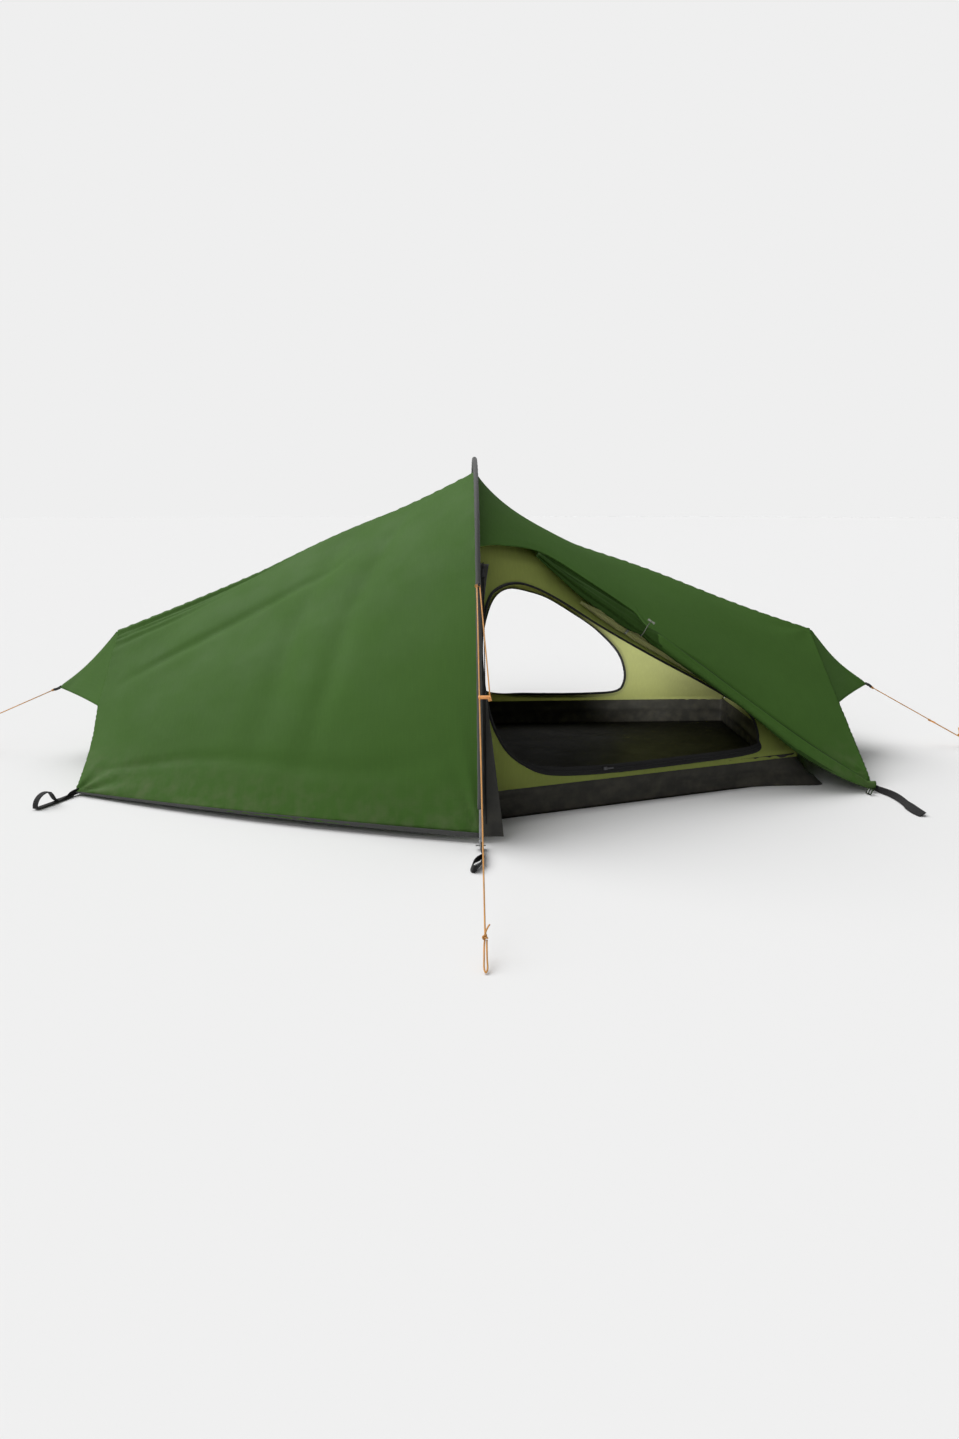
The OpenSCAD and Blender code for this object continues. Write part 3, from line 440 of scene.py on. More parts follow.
# Cloth of a slot above, in the tone it has in one place of the photo
CLOSE_CLOTH = {
    "sleeve": cloth("sleeve_grey", (0.070, 0.072, 0.070), 0.10, 0.0009, 0.60, 0.20),
    # painted light: the waterproof wall's copy of the groundsheet fabric is lighter than the floor's tone
    "wall": cloth("bathtub_grey_painted_light", (0.036, 0.035, 0.030), 0.12, 0.0008, 0.50, 0.0, dust=0.14),
    # painted light: this copy of the inner olive is greener and more yellow, and stands for the green light
    # that comes through the fly onto the near inner wall
    "near_olive_painted_green_light": cloth("inner_olive_painted_green_light", (0.46, 0.53, 0.15), 0.07, 0.0006, 0.75, 0.0, through=0.60,
                        dust=0.1),
    "gather": cloth("shaded_green", (0.030, 0.072, 0.012), 0.10, 0.0007, 0.66, 0.0, through=0.10, dust=0.10),
    "flap": cloth("flap_grey", (0.050, 0.050, 0.046), 0.10, 0.0009, 0.66, 0.20, dust=0.15),
}

for row in frame["record"]["subparts"]:
    cad_object = nodes[row["node"]]
    cad_object.data.materials.clear()
    cad_object.data.materials.append(MATERIALS[row["material_slot"]])


# ---- meshes ----
def new_mesh(name, points, faces, uvs, smooth_count):
    """A mesh from points, faces and one uv per point. Faces after the first smooth_count are shaded flat."""
    mesh = bpy.data.meshes.new(name)
    mesh.from_pydata(np.asarray(points, float).tolist(), [], faces)
    layer = mesh.uv_layers.new(name="UVMap")
    corner = np.empty(len(mesh.loops), int)
    mesh.loops.foreach_get("vertex_index", corner)
    layer.data.foreach_set("uv", np.asarray(uvs, float)[corner].ravel())
    mesh.polygons.foreach_set("use_smooth", np.arange(len(faces)) < smooth_count)
    return mesh


def face_outward(mesh):
    shell = bmesh.new()
    shell.from_mesh(mesh)
    bmesh.ops.recalc_face_normals(shell, faces=shell.faces)
    shell.to_mesh(mesh)
    shell.free()


def add_object(name, mesh, slot, material):
    made = bpy.data.objects.new(name, mesh)
    bpy.context.scene.collection.objects.link(made)
    mesh.materials.append(material or MATERIALS[slot])
    return made


def place(piece, replaces=(), body="tent"):
    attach(piece, body)
    if replaces:
        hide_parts(*replaces)
    return piece


def grid_faces(rows, columns, closed):
    """Quads over a grid of points; closed joins the last row to the first."""
    i = np.arange(rows if closed else rows - 1)[:, None]
    j = np.arange(columns - 1)[None, :]
    after = (i + 1) % rows
    corners = [i * columns + j, after * columns + j, after * columns + j + 1, i * columns + j + 1]
    return np.stack([np.broadcast_to(c, (len(i), columns - 1)) for c in corners], -1).reshape(-1, 4)


def grid_normals(points, closed=False):
    if closed:
        along = np.roll(points, -1, 0) - np.roll(points, 1, 0)
    else:
        along = np.gradient(points, axis=0)
    return unit(np.cross(along, np.gradient(points, axis=1)) + 1e-12)


def sheet(name, points, slot, thickness=CLOTH_T, closed=False, material=None, uv=None):
    """A thin closed sheet of cloth over a grid of points, with its uv map measured unless uv is given."""
    rows, columns = points.shape[:2]
    lift = grid_normals(points, closed) * thickness / 2
    both = np.concatenate([(points + lift).reshape(-1, 3), (points - lift).reshape(-1, 3)])
    count = rows * columns
    front = grid_faces(rows, columns, closed)
    back = front[:, ::-1] + count
    rim = []
    for j, flip in ((0, False), (columns - 1, True)):
        line = np.arange(rows) * columns + j
        ends = np.roll(line, -1) if closed else line[1:]
        starts = line if closed else line[:-1]
        quad = np.stack([starts, starts + count, ends + count, ends], -1)
        rim.append(quad[:, ::-1] if flip else quad)
    if not closed:
        for i, flip in ((0, True), (rows - 1, False)):
            line = i * columns + np.arange(columns)
            quad = np.stack([line[:-1], line[:-1] + count, line[1:] + count, line[1:]], -1)
            rim.append(quad[:, ::-1] if flip else quad)
    faces = np.concatenate([front, back] + rim).tolist()
    flat = (lay_out(points) if uv is None else uv).reshape(-1, 2)
    mesh = new_mesh(name, both, faces, np.concatenate([flat, flat]), 2 * len(front))
    face_outward(mesh)
    return add_object(name, mesh, slot, material)


def frames_along(path, up):
    """The direction, side and top of each point of a path."""
    along = unit(np.gradient(path, axis=0))
    side = unit(np.cross(along, np.broadcast_to(up, path.shape)))
    return along, side, np.cross(side, along)


def run_along(path):
    """How far each point of a path is from its start, along the path."""
    return np.concatenate([[0], np.cumsum(np.linalg.norm(np.diff(path, axis=0), axis=1))])


def tube(name, path, radius, slot, sides=10, up=(0, 0, 1), material=None):
    """A round tube along a path, with closed ends. radius is one number or one for each point."""
    path = np.asarray(path, float)
    _, side, top = frames_along(path, up)
    turn = np.arange(sides) * 2 * np.pi / sides
    radii = np.broadcast_to(radius, (len(path),))[:, None, None]
    ring = np.cos(turn)[None, :, None] * side[:, None] + np.sin(turn)[None, :, None] * top[:, None]
    points = (path[:, None] + radii * ring).reshape(-1, 3)
    i = np.arange(len(path) - 1)[:, None]
    k = np.arange(sides)[None, :]
    nxt = (k + 1) % sides
    here, after = i * sides, (i + 1) * sides
    quads = np.stack(np.broadcast_arrays(here + k, here + nxt, after + nxt, after + k), -1)
    faces = quads.reshape(-1, 4).tolist()
    faces.append(list(range(sides))[::-1])
    faces.append([(len(path) - 1) * sides + n for n in range(sides)])
    run = run_along(path)
    around = 1 - np.abs(2 * turn / (2 * np.pi) - 1)
    uv = np.stack(np.broadcast_arrays(run[:, None], around[None, :]), -1).reshape(-1, 2)
    return add_object(name, new_mesh(name, points, faces, uv, len(faces) - 2), slot, material)


def ribbon(name, path, width_dir, width, slot, thickness, closed=False, columns=5):
    """A flat tape along a path. width_dir is its width's direction, one for all or one for each point."""
    path = np.asarray(path, float)
    across = unit(np.broadcast_to(width_dir, path.shape))
    part = np.linspace(-0.5, 0.5, columns)
    spread = np.broadcast_to(width, (len(path),))[:, None] * part[None, :]
    points = path[:, None] + across[:, None] * spread[..., None]
    run = run_along(path)
    uv = np.stack(np.broadcast_arrays(run[:, None], spread), -1)
    return sheet(name, points, slot, thickness, closed, uv=uv)


def through(points, steps, closed=False):
    """A smooth curve through points, with this many steps between each pair."""
    p = np.asarray(points, float)
    if closed:
        p = np.concatenate([p[-1:], p, p[:2]])
    else:
        p = np.concatenate([p[:1], p, p[-1:]])
    t = np.linspace(0, 1, steps, endpoint=False)[None, :, None]
    a, b, c, d = (p[k:len(p) - 3 + k][:, None] for k in range(4))
    curve = 0.5 * (2 * b + (c - a) * t + (2 * a - 5 * b + 4 * c - d) * t ** 2
                   + (3 * b - a - 3 * c + d) * t ** 3)
    curve = curve.reshape(-1, p.shape[1])
    return curve if closed else np.concatenate([curve, p[-1:]])


def mirrored(points):
    return np.asarray(points, float) * np.array([1, -1, 1])


# ---- cords: the four guylines, their second strands and their knots ----
GUY_SLOPE = 51.5
GUY_STAND = 0.020
GUY_X = -0.004
PEG_Z = 0.002
TAB_LEN = 0.024
LOOP_LEN = 0.080
SIDE_SLIDER_AT = 0.37
END_SLIDER_AT = 0.60
HALF_SLIDER = 0.0035
LOOP_ROUTE = [(-0.080, 0), (-0.062, -0.0022), (-0.035, -0.0030), (-0.012, -0.0034), (-0.003, 0),
              (-0.012, 0.0034), (-0.035, 0.0030), (-0.062, 0.0030), (-0.074, 0.0034)]


def guy_points(top, peg, side):
    """The route of a guyline: straight to the peg, then a loop that comes back to the knot."""
    length = float(np.linalg.norm(peg - top))
    along = unit(peg - top)
    straight = [top + along * length * part for part in (0, 0.25, 0.5, 0.75)]
    loop = [top + along * (length + run) + side * off for run, off in LOOP_ROUTE]
    return np.concatenate([straight, through(loop, 5)])


def knot(name, centre, along, side, size):
    """An overhand knot drawn tight in the cord."""
    along, side = unit(along), unit(side)
    across = np.cross(along, side)
    t = np.linspace(0, 2 * np.pi, 61)[:-1]
    a = (np.sin(t) + 2 * np.sin(2 * t)) / 3
    b = (np.cos(t) - 2 * np.cos(2 * t)) / 3
    c = -np.sin(3 * t) * 0.55
    path = centre + size * (a[:, None] * side + b[:, None] * along + c[:, None] * across)
    path = np.concatenate([path, path[:1]])
    return tube(name, path, GUY_D * 0.48, "guyline_orange", 8, up=across + 0.01 * along)


def tail(name, start, along, side, length):
    """The free end of the cord, sticking out of its knot."""
    t = np.linspace(0, 1, 9)[:, None]
    path = start + length * (t * unit(along) + 0.35 * t * t * unit(side))
    return tube(name, path, GUY_D / 2, "guyline_orange", 8, up=np.cross(along, side))


def guy_set(name, top, peg, side, slider_at, from_peg):
    """A guyline with its second strand, knots and slider."""
    side = np.asarray(side, float)
    along = unit(peg - top)
    length = float(np.linalg.norm(peg - top))
    path = guy_points(top, peg, side)
    flat = np.cross(along, side)
    flat = flat * np.sign(flat[2])
    line = tube(f"{name}_line", path, GUY_D / 2, "guyline_orange", 10, flat)
    place(line, [f"{name}_guyline"])
    knot_at = peg - along * 0.077 + np.array([0, 0, 0.0035])
    peg_knot = place(knot(f"{name}_peg_knot", knot_at, along, side, 0.0052))
    top_knot = place(knot(f"{name}_top_knot", top + along * 0.004, along, side, 0.0048))
    tail_at = peg - along * 0.080 + flat * 0.005
    loose_end = place(tail(f"{name}_peg_tail", tail_at, 0.9 * flat - 0.5 * along, side, 0.026))
    if from_peg:
        start = top + along * (length - LOOP_LEN) + side * 0.006
        end = top + along * (length * slider_at + HALF_SLIDER + 0.0005) + side * SLIDER_HOLES
    else:
        start = top + side * (-2 * GUY_X)
        end = top + along * (length * slider_at - HALF_SLIDER - 0.0005) + side * SLIDER_HOLES
    run = np.linspace(0, 1, 41)[:, None]
    second = start + (end - start) * run
    strand = tube(f"{name}_second_strand", second, GUY_D / 2, "guyline_orange", 10, flat)
    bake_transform(strand)
    if name == "near":
        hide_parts("guyline_returns")
    push = -along if from_peg else along
    stopper_at = end + push * 0.012
    stopper = place(knot(f"{name}_stopper_knot", stopper_at, along, side, 0.0042), body=f"{name}_guy_slider")
    stub_path = np.stack([end, end + push * 0.006, end + push * 0.011])
    stub = tube(f"{name}_slider_stub", stub_path, GUY_D / 2, "guyline_orange", 10, flat)
    place(stub, body=f"{name}_guy_slider")


def side_guy(name, sign):
    y, z = pole_at(-GUY_SLOPE, -GUY_STAND)
    top = np.array([GUY_X, -sign * float(y), float(z)])
    peg = np.array([GUY_X, sign * SIDE_PEG_Y, PEG_Z])
    guy_set(name, top, peg, (1, 0, 0), SIDE_SLIDER_AT, False)


def hood_tip(strut_x, end):
    return np.array([end * (strut_x + HOOD_REACH), 0, HOOD_Z])


def end_guy(name, strut_x, reach, end):
    peg = np.array([end * (strut_x + HOOD_REACH + reach), 0, PEG_Z])
    tip = hood_tip(strut_x, end)
    top = tip + TAB_LEN * unit(peg - tip)
    guy_set(name, top, peg, (0, 1, 0), END_SLIDER_AT, True)


for side_name, side_sign in SIDES:
    side_guy(side_name, side_sign)
end_guy("left", LEFT_STRUT_X, LEFT_PEG_REACH, -1)
end_guy("right", RIGHT_STRUT_X, RIGHT_PEG_REACH, 1)

# ---- the fly ----
HEM_BOW = 0.040
SIDE_DIP = 0.022
FLY_EDGE = 0.002


def fly_point(u, w, strut_x, depth, attack, dip):
    """The fly: u from the pole to the end, w from the near hem (-1) over the ridge (0) to the far hem (1)."""
    v = np.abs(w)
    side = np.where(w < 0, -1.0, 1.0)
    pole_y, pole_z = pole_at(w * HEM_SLOPE, WEB_H)
    end_x = strut_x + (CORNER_X - strut_x) * v
    end_y = side * CORNER_Y * v
    end_z = STRUT_TOP_Z + (0.010 - STRUT_TOP_Z) * v
    mid = 4 * u * (1 - u)
    pull = SIDE_DIP * mid * 4 * v * (1 - v)
    sag = depth * (1 - np.exp(-u / attack)) * (1 - u ** 1.7)
    x = FLY_EDGE + (end_x - FLY_EDGE) * u
    y = pole_y + (end_y - pole_y) * u + side * (HEM_BOW * mid * v ** 3 - 0.7 * pull)
    z = pole_z + (end_z - pole_z) * u - sag * (1 - v) ** 2 - 0.5 * pull - dip * mid * v ** 3
    return np.stack([x, y, z], -1)


def left_fly(u, w):
    return fly_point(u, w, LEFT_STRUT_X, 0.030, 0.35, -0.006) * np.array([-1, 1, 1])


def right_fly(u, w):
    return fly_point(u, w, RIGHT_STRUT_X, 0.095, 0.08, 0.008)


def swell(u, v, seed):
    """Slow uneven waves, from about -1 to 1."""
    total = 0.0
    for k in range(1, 5):
        a = seed * 1.7 + k * 2.4
        total = total + np.sin(u * (2.1 + 1.9 * k) + a) * np.cos(v * (1.7 + 2.3 * k) + a * 1.3) / k
    return total / 1.8


def pucker(x, y, at, rays, reach, turn=0.0):
    """Folds that fan out from a point and die away."""
    dx, dy = x - at[0], y - at[1]
    r = np.hypot(dx, dy)
    return np.cos(rays * np.arctan2(dy, dx) + turn) * np.exp(-r / reach) * smooth(r / (0.35 * reach))


def seam_gather(distance, run, period, reach):
    """Small puckers that a row of stitches pulls into cloth."""
    wave = np.sin(2 * np.pi * run / period) + 0.5 * np.sin(2 * np.pi * run / (period * 0.63) + 1.1)
    return wave * np.exp(-distance / reach)


def fly_relief(u, v, length, height, side, seed):
    """How far the cloth stands out from its plain shape, in metres."""
    x, y = u * length, v * height
    relief = 0.0110 * swell(u * 1.3, v * 1.6, seed + side) * smooth(4 * u) * smooth(4 * (1 - u))
    relief = relief + 0.0011 * seam_gather(x, y, 0.034, 0.022)
    relief = relief + 0.0011 * seam_gather(length - x, y, 0.033, 0.020)
    relief = relief + 0.0010 * seam_gather(y, x, 0.041, 0.018)
    relief = relief + 0.0060 * pucker(x, y, (length, 0), 9, 0.13, side) * smooth(6 * v)
    return relief


def lay_out(points):
    """A uv map in metres for a grid of points, measured along its middle row and column."""
    steps_i = np.linalg.norm(np.diff(points, axis=0), axis=2).mean(1)
    steps_j = np.linalg.norm(np.diff(points, axis=1), axis=2).mean(0)
    along = np.concatenate([[0], np.cumsum(steps_i)])
    across = np.concatenate([[0], np.cumsum(steps_j)])
    return np.stack(np.broadcast_arrays(along[:, None], across[None, :]), -1)


def even(start, end, count, crowd=0.0):
    """Numbers from start to end, closer together at both ends when crowd is above 0."""
    t = np.linspace(0, 1, count)
    t = (1 - crowd) * t + crowd * smooth(t)
    return start + (end - start) * t


LEFT_LENGTH = 1.29
RIGHT_LENGTH = 1.24
END_HOLLOW = 0.012
PANEL_HEIGHT = 1.30
# Folds that run along the ridge: how far below it each ends, its depth, its width and where it starts
RIDGE_FOLDS = [(0.042, 0.0105, 0.010, 0.30), (0.080, 0.0085, 0.014, 0.50), (0.15, 0.0065, 0.025, 0.6)]


def make_fly_left():
    u = even(0, 1, 130, 0.4)[:, None]
    half = even(0, 1, 80, 0.3)
    w = np.concatenate([-half[::-1], half[1:]])[None, :]
    u, w = np.broadcast_arrays(u, w)
    v = np.abs(w)
    side = np.where(w < 0, -1.0, 1.0)
    plain = left_fly(u, w)
    plain[..., 0] += END_HOLLOW * np.sin(np.pi * np.clip(2 * v - 1, 0, 1)) * smooth((u - 0.75) / 0.25)
    normal = -grid_normals(plain)
    relief = fly_relief(u, v, LEFT_LENGTH, PANEL_HEIGHT, side, 1.0)
    x, y = u * LEFT_LENGTH, v * PANEL_HEIGHT
    for below, depth, wide, start in RIDGE_FOLDS:
        fade = smooth((u - start) / 0.3) * (1 - 0.4 * smooth((u - 0.9) / 0.1))
        relief = relief - depth * bell((y - below * (0.35 + 0.65 * u)) / wide) * fade
    relief = relief + 0.0075 * pucker(x, y, (LEFT_LENGTH, PANEL_HEIGHT), 11, 0.12, 0.6)
    within = smooth((u - 0.2) / 0.3)
    relief = relief - 0.0085 * bell((y - 0.30 - 0.25 * u) / 0.04) * within * smooth((1 - u) / 0.2)
    relief = relief - 0.0090 * bell((x - 0.16 - 0.30 * y) / 0.045) * smooth(4 * v) * smooth(4 * (1 - v))
    relief = relief - 0.0080 * bell((x - 0.42 - 0.22 * y) / 0.050) * smooth(4 * v) * smooth(3 * (1 - v))
    relief = relief + 0.0055 * pucker(x, y, (0, PANEL_HEIGHT), 11, 0.10, 1.2)
    hem_fold = bell((y - 1.16 - 0.03 * np.sin(5 * x)) / 0.018)
    relief = relief - 0.0050 * hem_fold * smooth(x / 0.25) * smooth((LEFT_LENGTH - x) / 0.2)
    relief = relief + 0.0008 * seam_gather(PANEL_HEIGHT - y, x, 0.045, 0.02)
    piece = sheet("fly_left", plain + normal * relief[..., None], "fly_green", uv=lay_out(plain))
    place(piece, ["fly_left_near", "fly_left_far"])


DOOR_EDGE = [(0, 0.60), (0.06, 0.525), (0.17, 0.43), (0.30, 0.46), (0.45, 0.53),
             (0.60, 0.60), (0.70, 0.66), (0.80, 0.73), (0.90, 0.82), (1, 0.93)]


def door_edge(u):
    """Lower edge of the open right-hand panel, as v."""
    curve = through(DOOR_EDGE, 12)
    return np.interp(u, curve[:, 0], curve[:, 1])


ROLL_TOP = np.array([0.190, -0.424, 0.738])
ROLL_FOOT = np.array([1.238, -0.556, 0.024])
TIE_AT = 0.32
HEM_R = 0.0022
WRAP_FROM, WRAP_FULL = 0.405, 0.465
ROLL_SIZE = [(0, 0.006), (0.05, 0.014), (0.13, 0.025), (0.26, 0.023), (0.40, 0.021), (0.50, 0.019),
             (0.60, 0.018), (0.70, 0.020), (0.82, 0.025), (0.92, 0.021), (1, 0.011)]
ROLL_DROOP = [(0, 0), (0.13, 0.011), (0.32, 0.004), (0.50, 0.008), (0.65, 0.014), (0.80, 0.022),
              (0.90, 0.016), (1, 0)]


def curve_at(s, points):
    curve = through(points, 12)
    return np.interp(s, curve[:, 0], curve[:, 1])


def roll_radius(s):
    return curve_at(s, ROLL_SIZE) * (1 - 0.36 * bell((s - TIE_AT) / 0.020))


def roll_sag(s):
    return curve_at(s, ROLL_DROOP)


def roof_edge(u):
    """The roof's lower edge on the near side: its v, the middle of its hem's curl and the curl's radius.

    Above the tie the edge hangs free. Below the tie the roof lies over the rolled door.
    """
    over = smooth((u - WRAP_FROM) / (WRAP_FULL - WRAP_FROM))
    v_free = door_edge(u)
    x = right_fly(u, -v_free)[..., 0]
    s = np.clip((x - ROLL_TOP[0]) / (ROLL_FOOT[0] - ROLL_TOP[0]), 0, 1)
    middle = ROLL_TOP + (ROLL_FOOT - ROLL_TOP) * s[..., None]
    middle[..., 0] = x
    middle[..., 2] = np.maximum(middle[..., 2] - roll_sag(s), 0.018)
    low, high = v_free, np.ones_like(v_free)
    for _ in range(30):
        half = (low + high) / 2
        short = right_fly(u, -half)[..., 1] > middle[..., 1]
        low, high = np.where(short, half, low), np.where(short, high, half)
    v = v_free + (low - v_free) * over
    radius = HEM_R + (roll_radius(s) + 0.0022 - HEM_R) * over
    free = right_fly(u, -v) - np.array([0, 0, HEM_R])
    middle = free + (middle - free) * over[..., None]
    return v, middle, radius


def make_fly_right():
    rows, curl_rows = 90, 9
    u = even(0, 1, 150, 0.3)
    edge_v, middle, radius = roof_edge(u)
    part = even(0, 1, rows, 0.6)[None, :]
    v = part * edge_v[:, None]
    u2 = np.broadcast_to(u[:, None], v.shape)
    near = right_fly(u2, -v)
    out = -grid_normals(near)
    out = np.where(out[..., 2:] < 0, -out, out)
    relief = fly_relief(u2, v, RIGHT_LENGTH, PANEL_HEIGHT, -1.0, 4.0)
    edge = (edge_v[:, None] - v) * PANEL_HEIGHT
    slack = smooth((u2 - 0.12) / 0.2) * (1 - smooth((u2 - 0.95) / 0.05))
    over = smooth((u2 - WRAP_FROM) / (WRAP_FULL - WRAP_FROM))
    valley = 0.021 * bell((edge - 0.048) / 0.013) * slack * over * (0.75 + 0.25 * np.sin(7 * u2 + 1))
    corner = (RIGHT_LENGTH, 0.93 * PANEL_HEIGHT)
    folds = 0.0050 * pucker(u2 * RIGHT_LENGTH, v * PANEL_HEIGHT, corner, 9, 0.10, 0.4)
    relief = relief - valley + folds
    settle = smooth(1 - edge / 0.046)
    start = unit(out[:, -1] * np.array([0, 1, 1]))
    top_of_curl = middle + start * radius[:, None]
    lift = (top_of_curl - near[:, -1])[:, None]
    near = near + out * (relief * (1 - settle))[..., None] + lift * settle[..., None]
    turned = np.stack([np.zeros(len(start)), -start[:, 2], start[:, 1]], -1)
    turn = np.linspace(0, math.radians(125), curl_rows + 1)[1:][None, :, None]
    spoke = np.cos(turn) * start[:, None] + np.sin(turn) * turned[:, None]
    curl = middle[:, None] + radius[:, None, None] * spoke
    half = np.concatenate([near, curl], 1)
    points = np.concatenate([half[:, ::-1], mirrored(half[:, 1:])], 1)
    piece = sheet("fly_right", points, "fly_green")
    place(piece, ["fly_right_near", "fly_right_far"])


make_fly_left()
make_fly_right()


# ---- rolled cloth ----
ROLL_CORE = 0.2                # radius of a roll's middle, as a share of its radius


def rolled(name, path, radius, laps, slot, up, start_turn, folds, squeeze=None, steps=22, material=None):
    """Cloth rolled up round a path: a spiral of that many laps, with folds that run along it."""
    path = np.asarray(path, float)
    _, side, top = frames_along(path, up)
    s = np.linspace(0, 1, len(path))[:, None]
    turns = np.linspace(0, laps, int(laps * steps) + 1)[None, :]
    turn = turns * 2 * np.pi + start_turn
    size = np.asarray(radius, float)[:, None] * (1 - (1 - ROLL_CORE) * turns / laps)
    wide, tall = (1.0, 1.0) if squeeze is None else squeeze(s)
    size = size + folds(s, turn) * (0.35 + 0.65 * (1 - turns / laps))
    a = (size * np.cos(turn) * wide)[..., None] * side[:, None]
    b = (size * np.sin(turn) * tall)[..., None] * top[:, None]
    points = path[:, None] + a + b
    return sheet(name, points, slot, CLOTH_T, material=material)


def roll_line(s):
    """The middle of the near door's roll."""
    line = ROLL_TOP + (ROLL_FOOT - ROLL_TOP) * s[:, None]
    line[:, 2] -= roll_sag(s)
    return line


def roll_folds(s, turn):
    loose = 1 - smooth((s - 0.05) / 0.4)
    near_tie = np.exp(-np.abs(s - TIE_AT) / 0.07)
    fold = 0.0085 * loose * np.sin(4 * turn + 5 * s) + 0.0026 * near_tie * np.sin(7 * turn + 9 * s)
    return fold + 0.0014 * np.sin(5 * turn + 14 * s) + 0.0010 * np.sin(2 * turn - 22 * s)


def roll_squeeze(s):
    loose = 1 - smooth((s - 0.02) / 0.30)
    return 1 - 0.45 * loose, 1 + 0.25 * loose


def make_door_roll(name, sign):
    s = np.linspace(0, 1, 120)
    path = roll_line(s)
    radius = roll_radius(s)
    up = np.array([0, 1, 0.0])
    if sign > 0:
        path = mirrored(path)
        up = np.array([0, -1, 0.0])
    piece = rolled(name + "_cloth", path, radius, 4.5, "fly_green", up, 2.4, roll_folds, roll_squeeze,
                   material=CLOSE_CLOTH["gather"])
    place(piece, [name])


GATHER_END = TIE_AT + 0.05
RIGHT_END_X = 1.245            # where the right panel ends at the height of the door's edge


def make_gather(name, sign):
    """The slack cloth of the open door between the roof's edge and the roll, drawn together at the tie."""
    s = even(0.0, GATHER_END, 70)
    roll = roll_line(s)
    u = np.clip(roll[:, 0] / RIGHT_END_X, 0, 1)
    _, hem, _ = roof_edge(u)
    low = roll + (roll_radius(s) * 0.80)[:, None] * np.array([0, -0.35, 0.75])
    high = hem + np.array([0, 0.004, 0.001])
    low = high + (low - high) * smooth(0.06 + s / 0.07)[:, None]
    t = np.linspace(0, 1, 44)[None, :, None]
    points = high[:, None] + (low - high)[:, None] * t
    closing = smooth((GATHER_END - s) / 0.16)[:, None, None]
    t2, s2 = t[..., 0], s[:, None]
    fold = np.abs(np.sin(np.pi * (3.6 * t2 + 1.3 * s2 + 0.12 * np.sin(19 * s2)))) ** 0.6 - 0.6
    depth = (0.013 * fold[..., None] * closing + 0.002) * np.sin(np.pi * t)
    slack = 0.016 * closing * np.sin(np.pi * t) * np.array([0, 0.6, -0.8])
    points = points + 1.5 * depth * np.array([0, -0.75, -0.66]) + slack
    if sign > 0:
        points = mirrored(points)
    piece = sheet(name, points, "fly_green", material=CLOSE_CLOTH["gather"])
    place(piece)


for side_name, side_sign in SIDES:
    make_door_roll(f"{side_name}_door_roll", side_sign)
for side_name, side_sign in SIDES:
    make_gather(f"{side_name}_door_gather", side_sign)


# ---- the pole's sleeve and the dark flaps beside it ----
SLEEVE_END = TIP_ANGLE - 2.5


def make_sleeve():
    slope = np.linspace(-SLEEVE_END, SLEEVE_END, 320)[:, None]
    around = np.radians(np.linspace(-168, 168, 25))
    r_tube = SLEEVE_D / 2
    web = np.linspace(-WEB_H, -r_tube, 10)
    stand = np.concatenate([web, r_tube * np.cos(around), web[::-1]])[None, :]
    x = np.concatenate([np.full(10, -0.0009), r_tube * np.sin(around), np.full(10, 0.0009)])[None, :]
    stand, x, slope = np.broadcast_arrays(stand, x, slope)
    run = np.radians(slope) * LEG_R
    tube_part = smooth((stand + 0.012) / 0.010)
    loose = 1 + tube_part * (0.05 * np.sin(run * 61) + 0.04 * np.sin(run * 137 + 1))
    stitch = 0.0004 * bell((stand + 0.010) / 0.0015) + 0.0004 * bell((stand + WEB_H - 0.006) / 0.0015)
    x = x * loose + np.sign(x) * stitch + 0.0006 * np.sin(run * 23) * (1 - tube_part)
    y, z = pole_at(slope, -stand)
    points = np.stack([x, y, z], -1)
    piece = sheet("pole_sleeve_cloth", points, "grey_webbing",
                  material=CLOSE_CLOTH["sleeve"])
    place(piece, ["pole_sleeve"])


FLAP_TOP_V = 0.64


def make_zip_flap(name, sign, replaced=()):
    s, part = np.meshgrid(np.linspace(0, 1, 90), np.linspace(0, 1, 12), indexing="ij")
    width = 0.007 + np.where(s < 0.4, 0.156 * (0.4 - s) ** 2, 0.092 * (s - 0.4))
    slope = (FLAP_TOP_V + (1 - FLAP_TOP_V) * s) * HEM_SLOPE
    inset = WEB_H + 0.003 + 0.009 * part + 0.0018 * np.sin(s * 30 + 4 * part) * part
    y, z = pole_at(slope, inset)
    x = FLY_EDGE + 0.001 + (width - 0.001) * part
    points = np.stack([x, sign * y, z], -1)
    piece = sheet(f"{name}_zip_flap", points, "grey_webbing", material=CLOSE_CLOTH["flap"])
    place(piece, replaced)
    run = np.radians(np.linspace(FLAP_TOP_V, 0.985, 280) * HEM_SLOPE)
    y, z = pole_at(np.degrees(run), WEB_H + 0.0030)
    path = np.stack([np.full(len(run), 0.0165), sign * y, z], -1)
    teeth = 0.0017 * (1 + 0.22 * (-1.0) ** np.arange(len(run)))
    place(tube(f"{name}_door_zip", path, teeth, "zip_tape", 6, (1, 0, 0)))


make_sleeve()
make_zip_flap("near", -1, ["door_zip_flaps"])
make_zip_flap("far", 1)


# ---- bindings: along the left hem and along the headers of the open doors ----
def make_hem(name, sign, replaced=()):
    u = np.linspace(0, 1, 150)[:, None]
    drop = np.linspace(0, 1, 6)[None, :]
    line = left_fly(u, np.full_like(u, sign))
    stand = 0.0022 + 0.0006 * drop + 0.0004 * np.sin(u * 140)
    tall = 0.0050 + 0.0085 * (1 - u) ** 0.7
    offset = np.stack([np.zeros_like(stand), sign * stand, tall * (1 - drop) - 0.0015], -1)
    points = line + offset
    piece = sheet(name, points, "grey_webbing", 0.0012, material=CLOSE_CLOTH["sleeve"])
    place(piece, replaced)


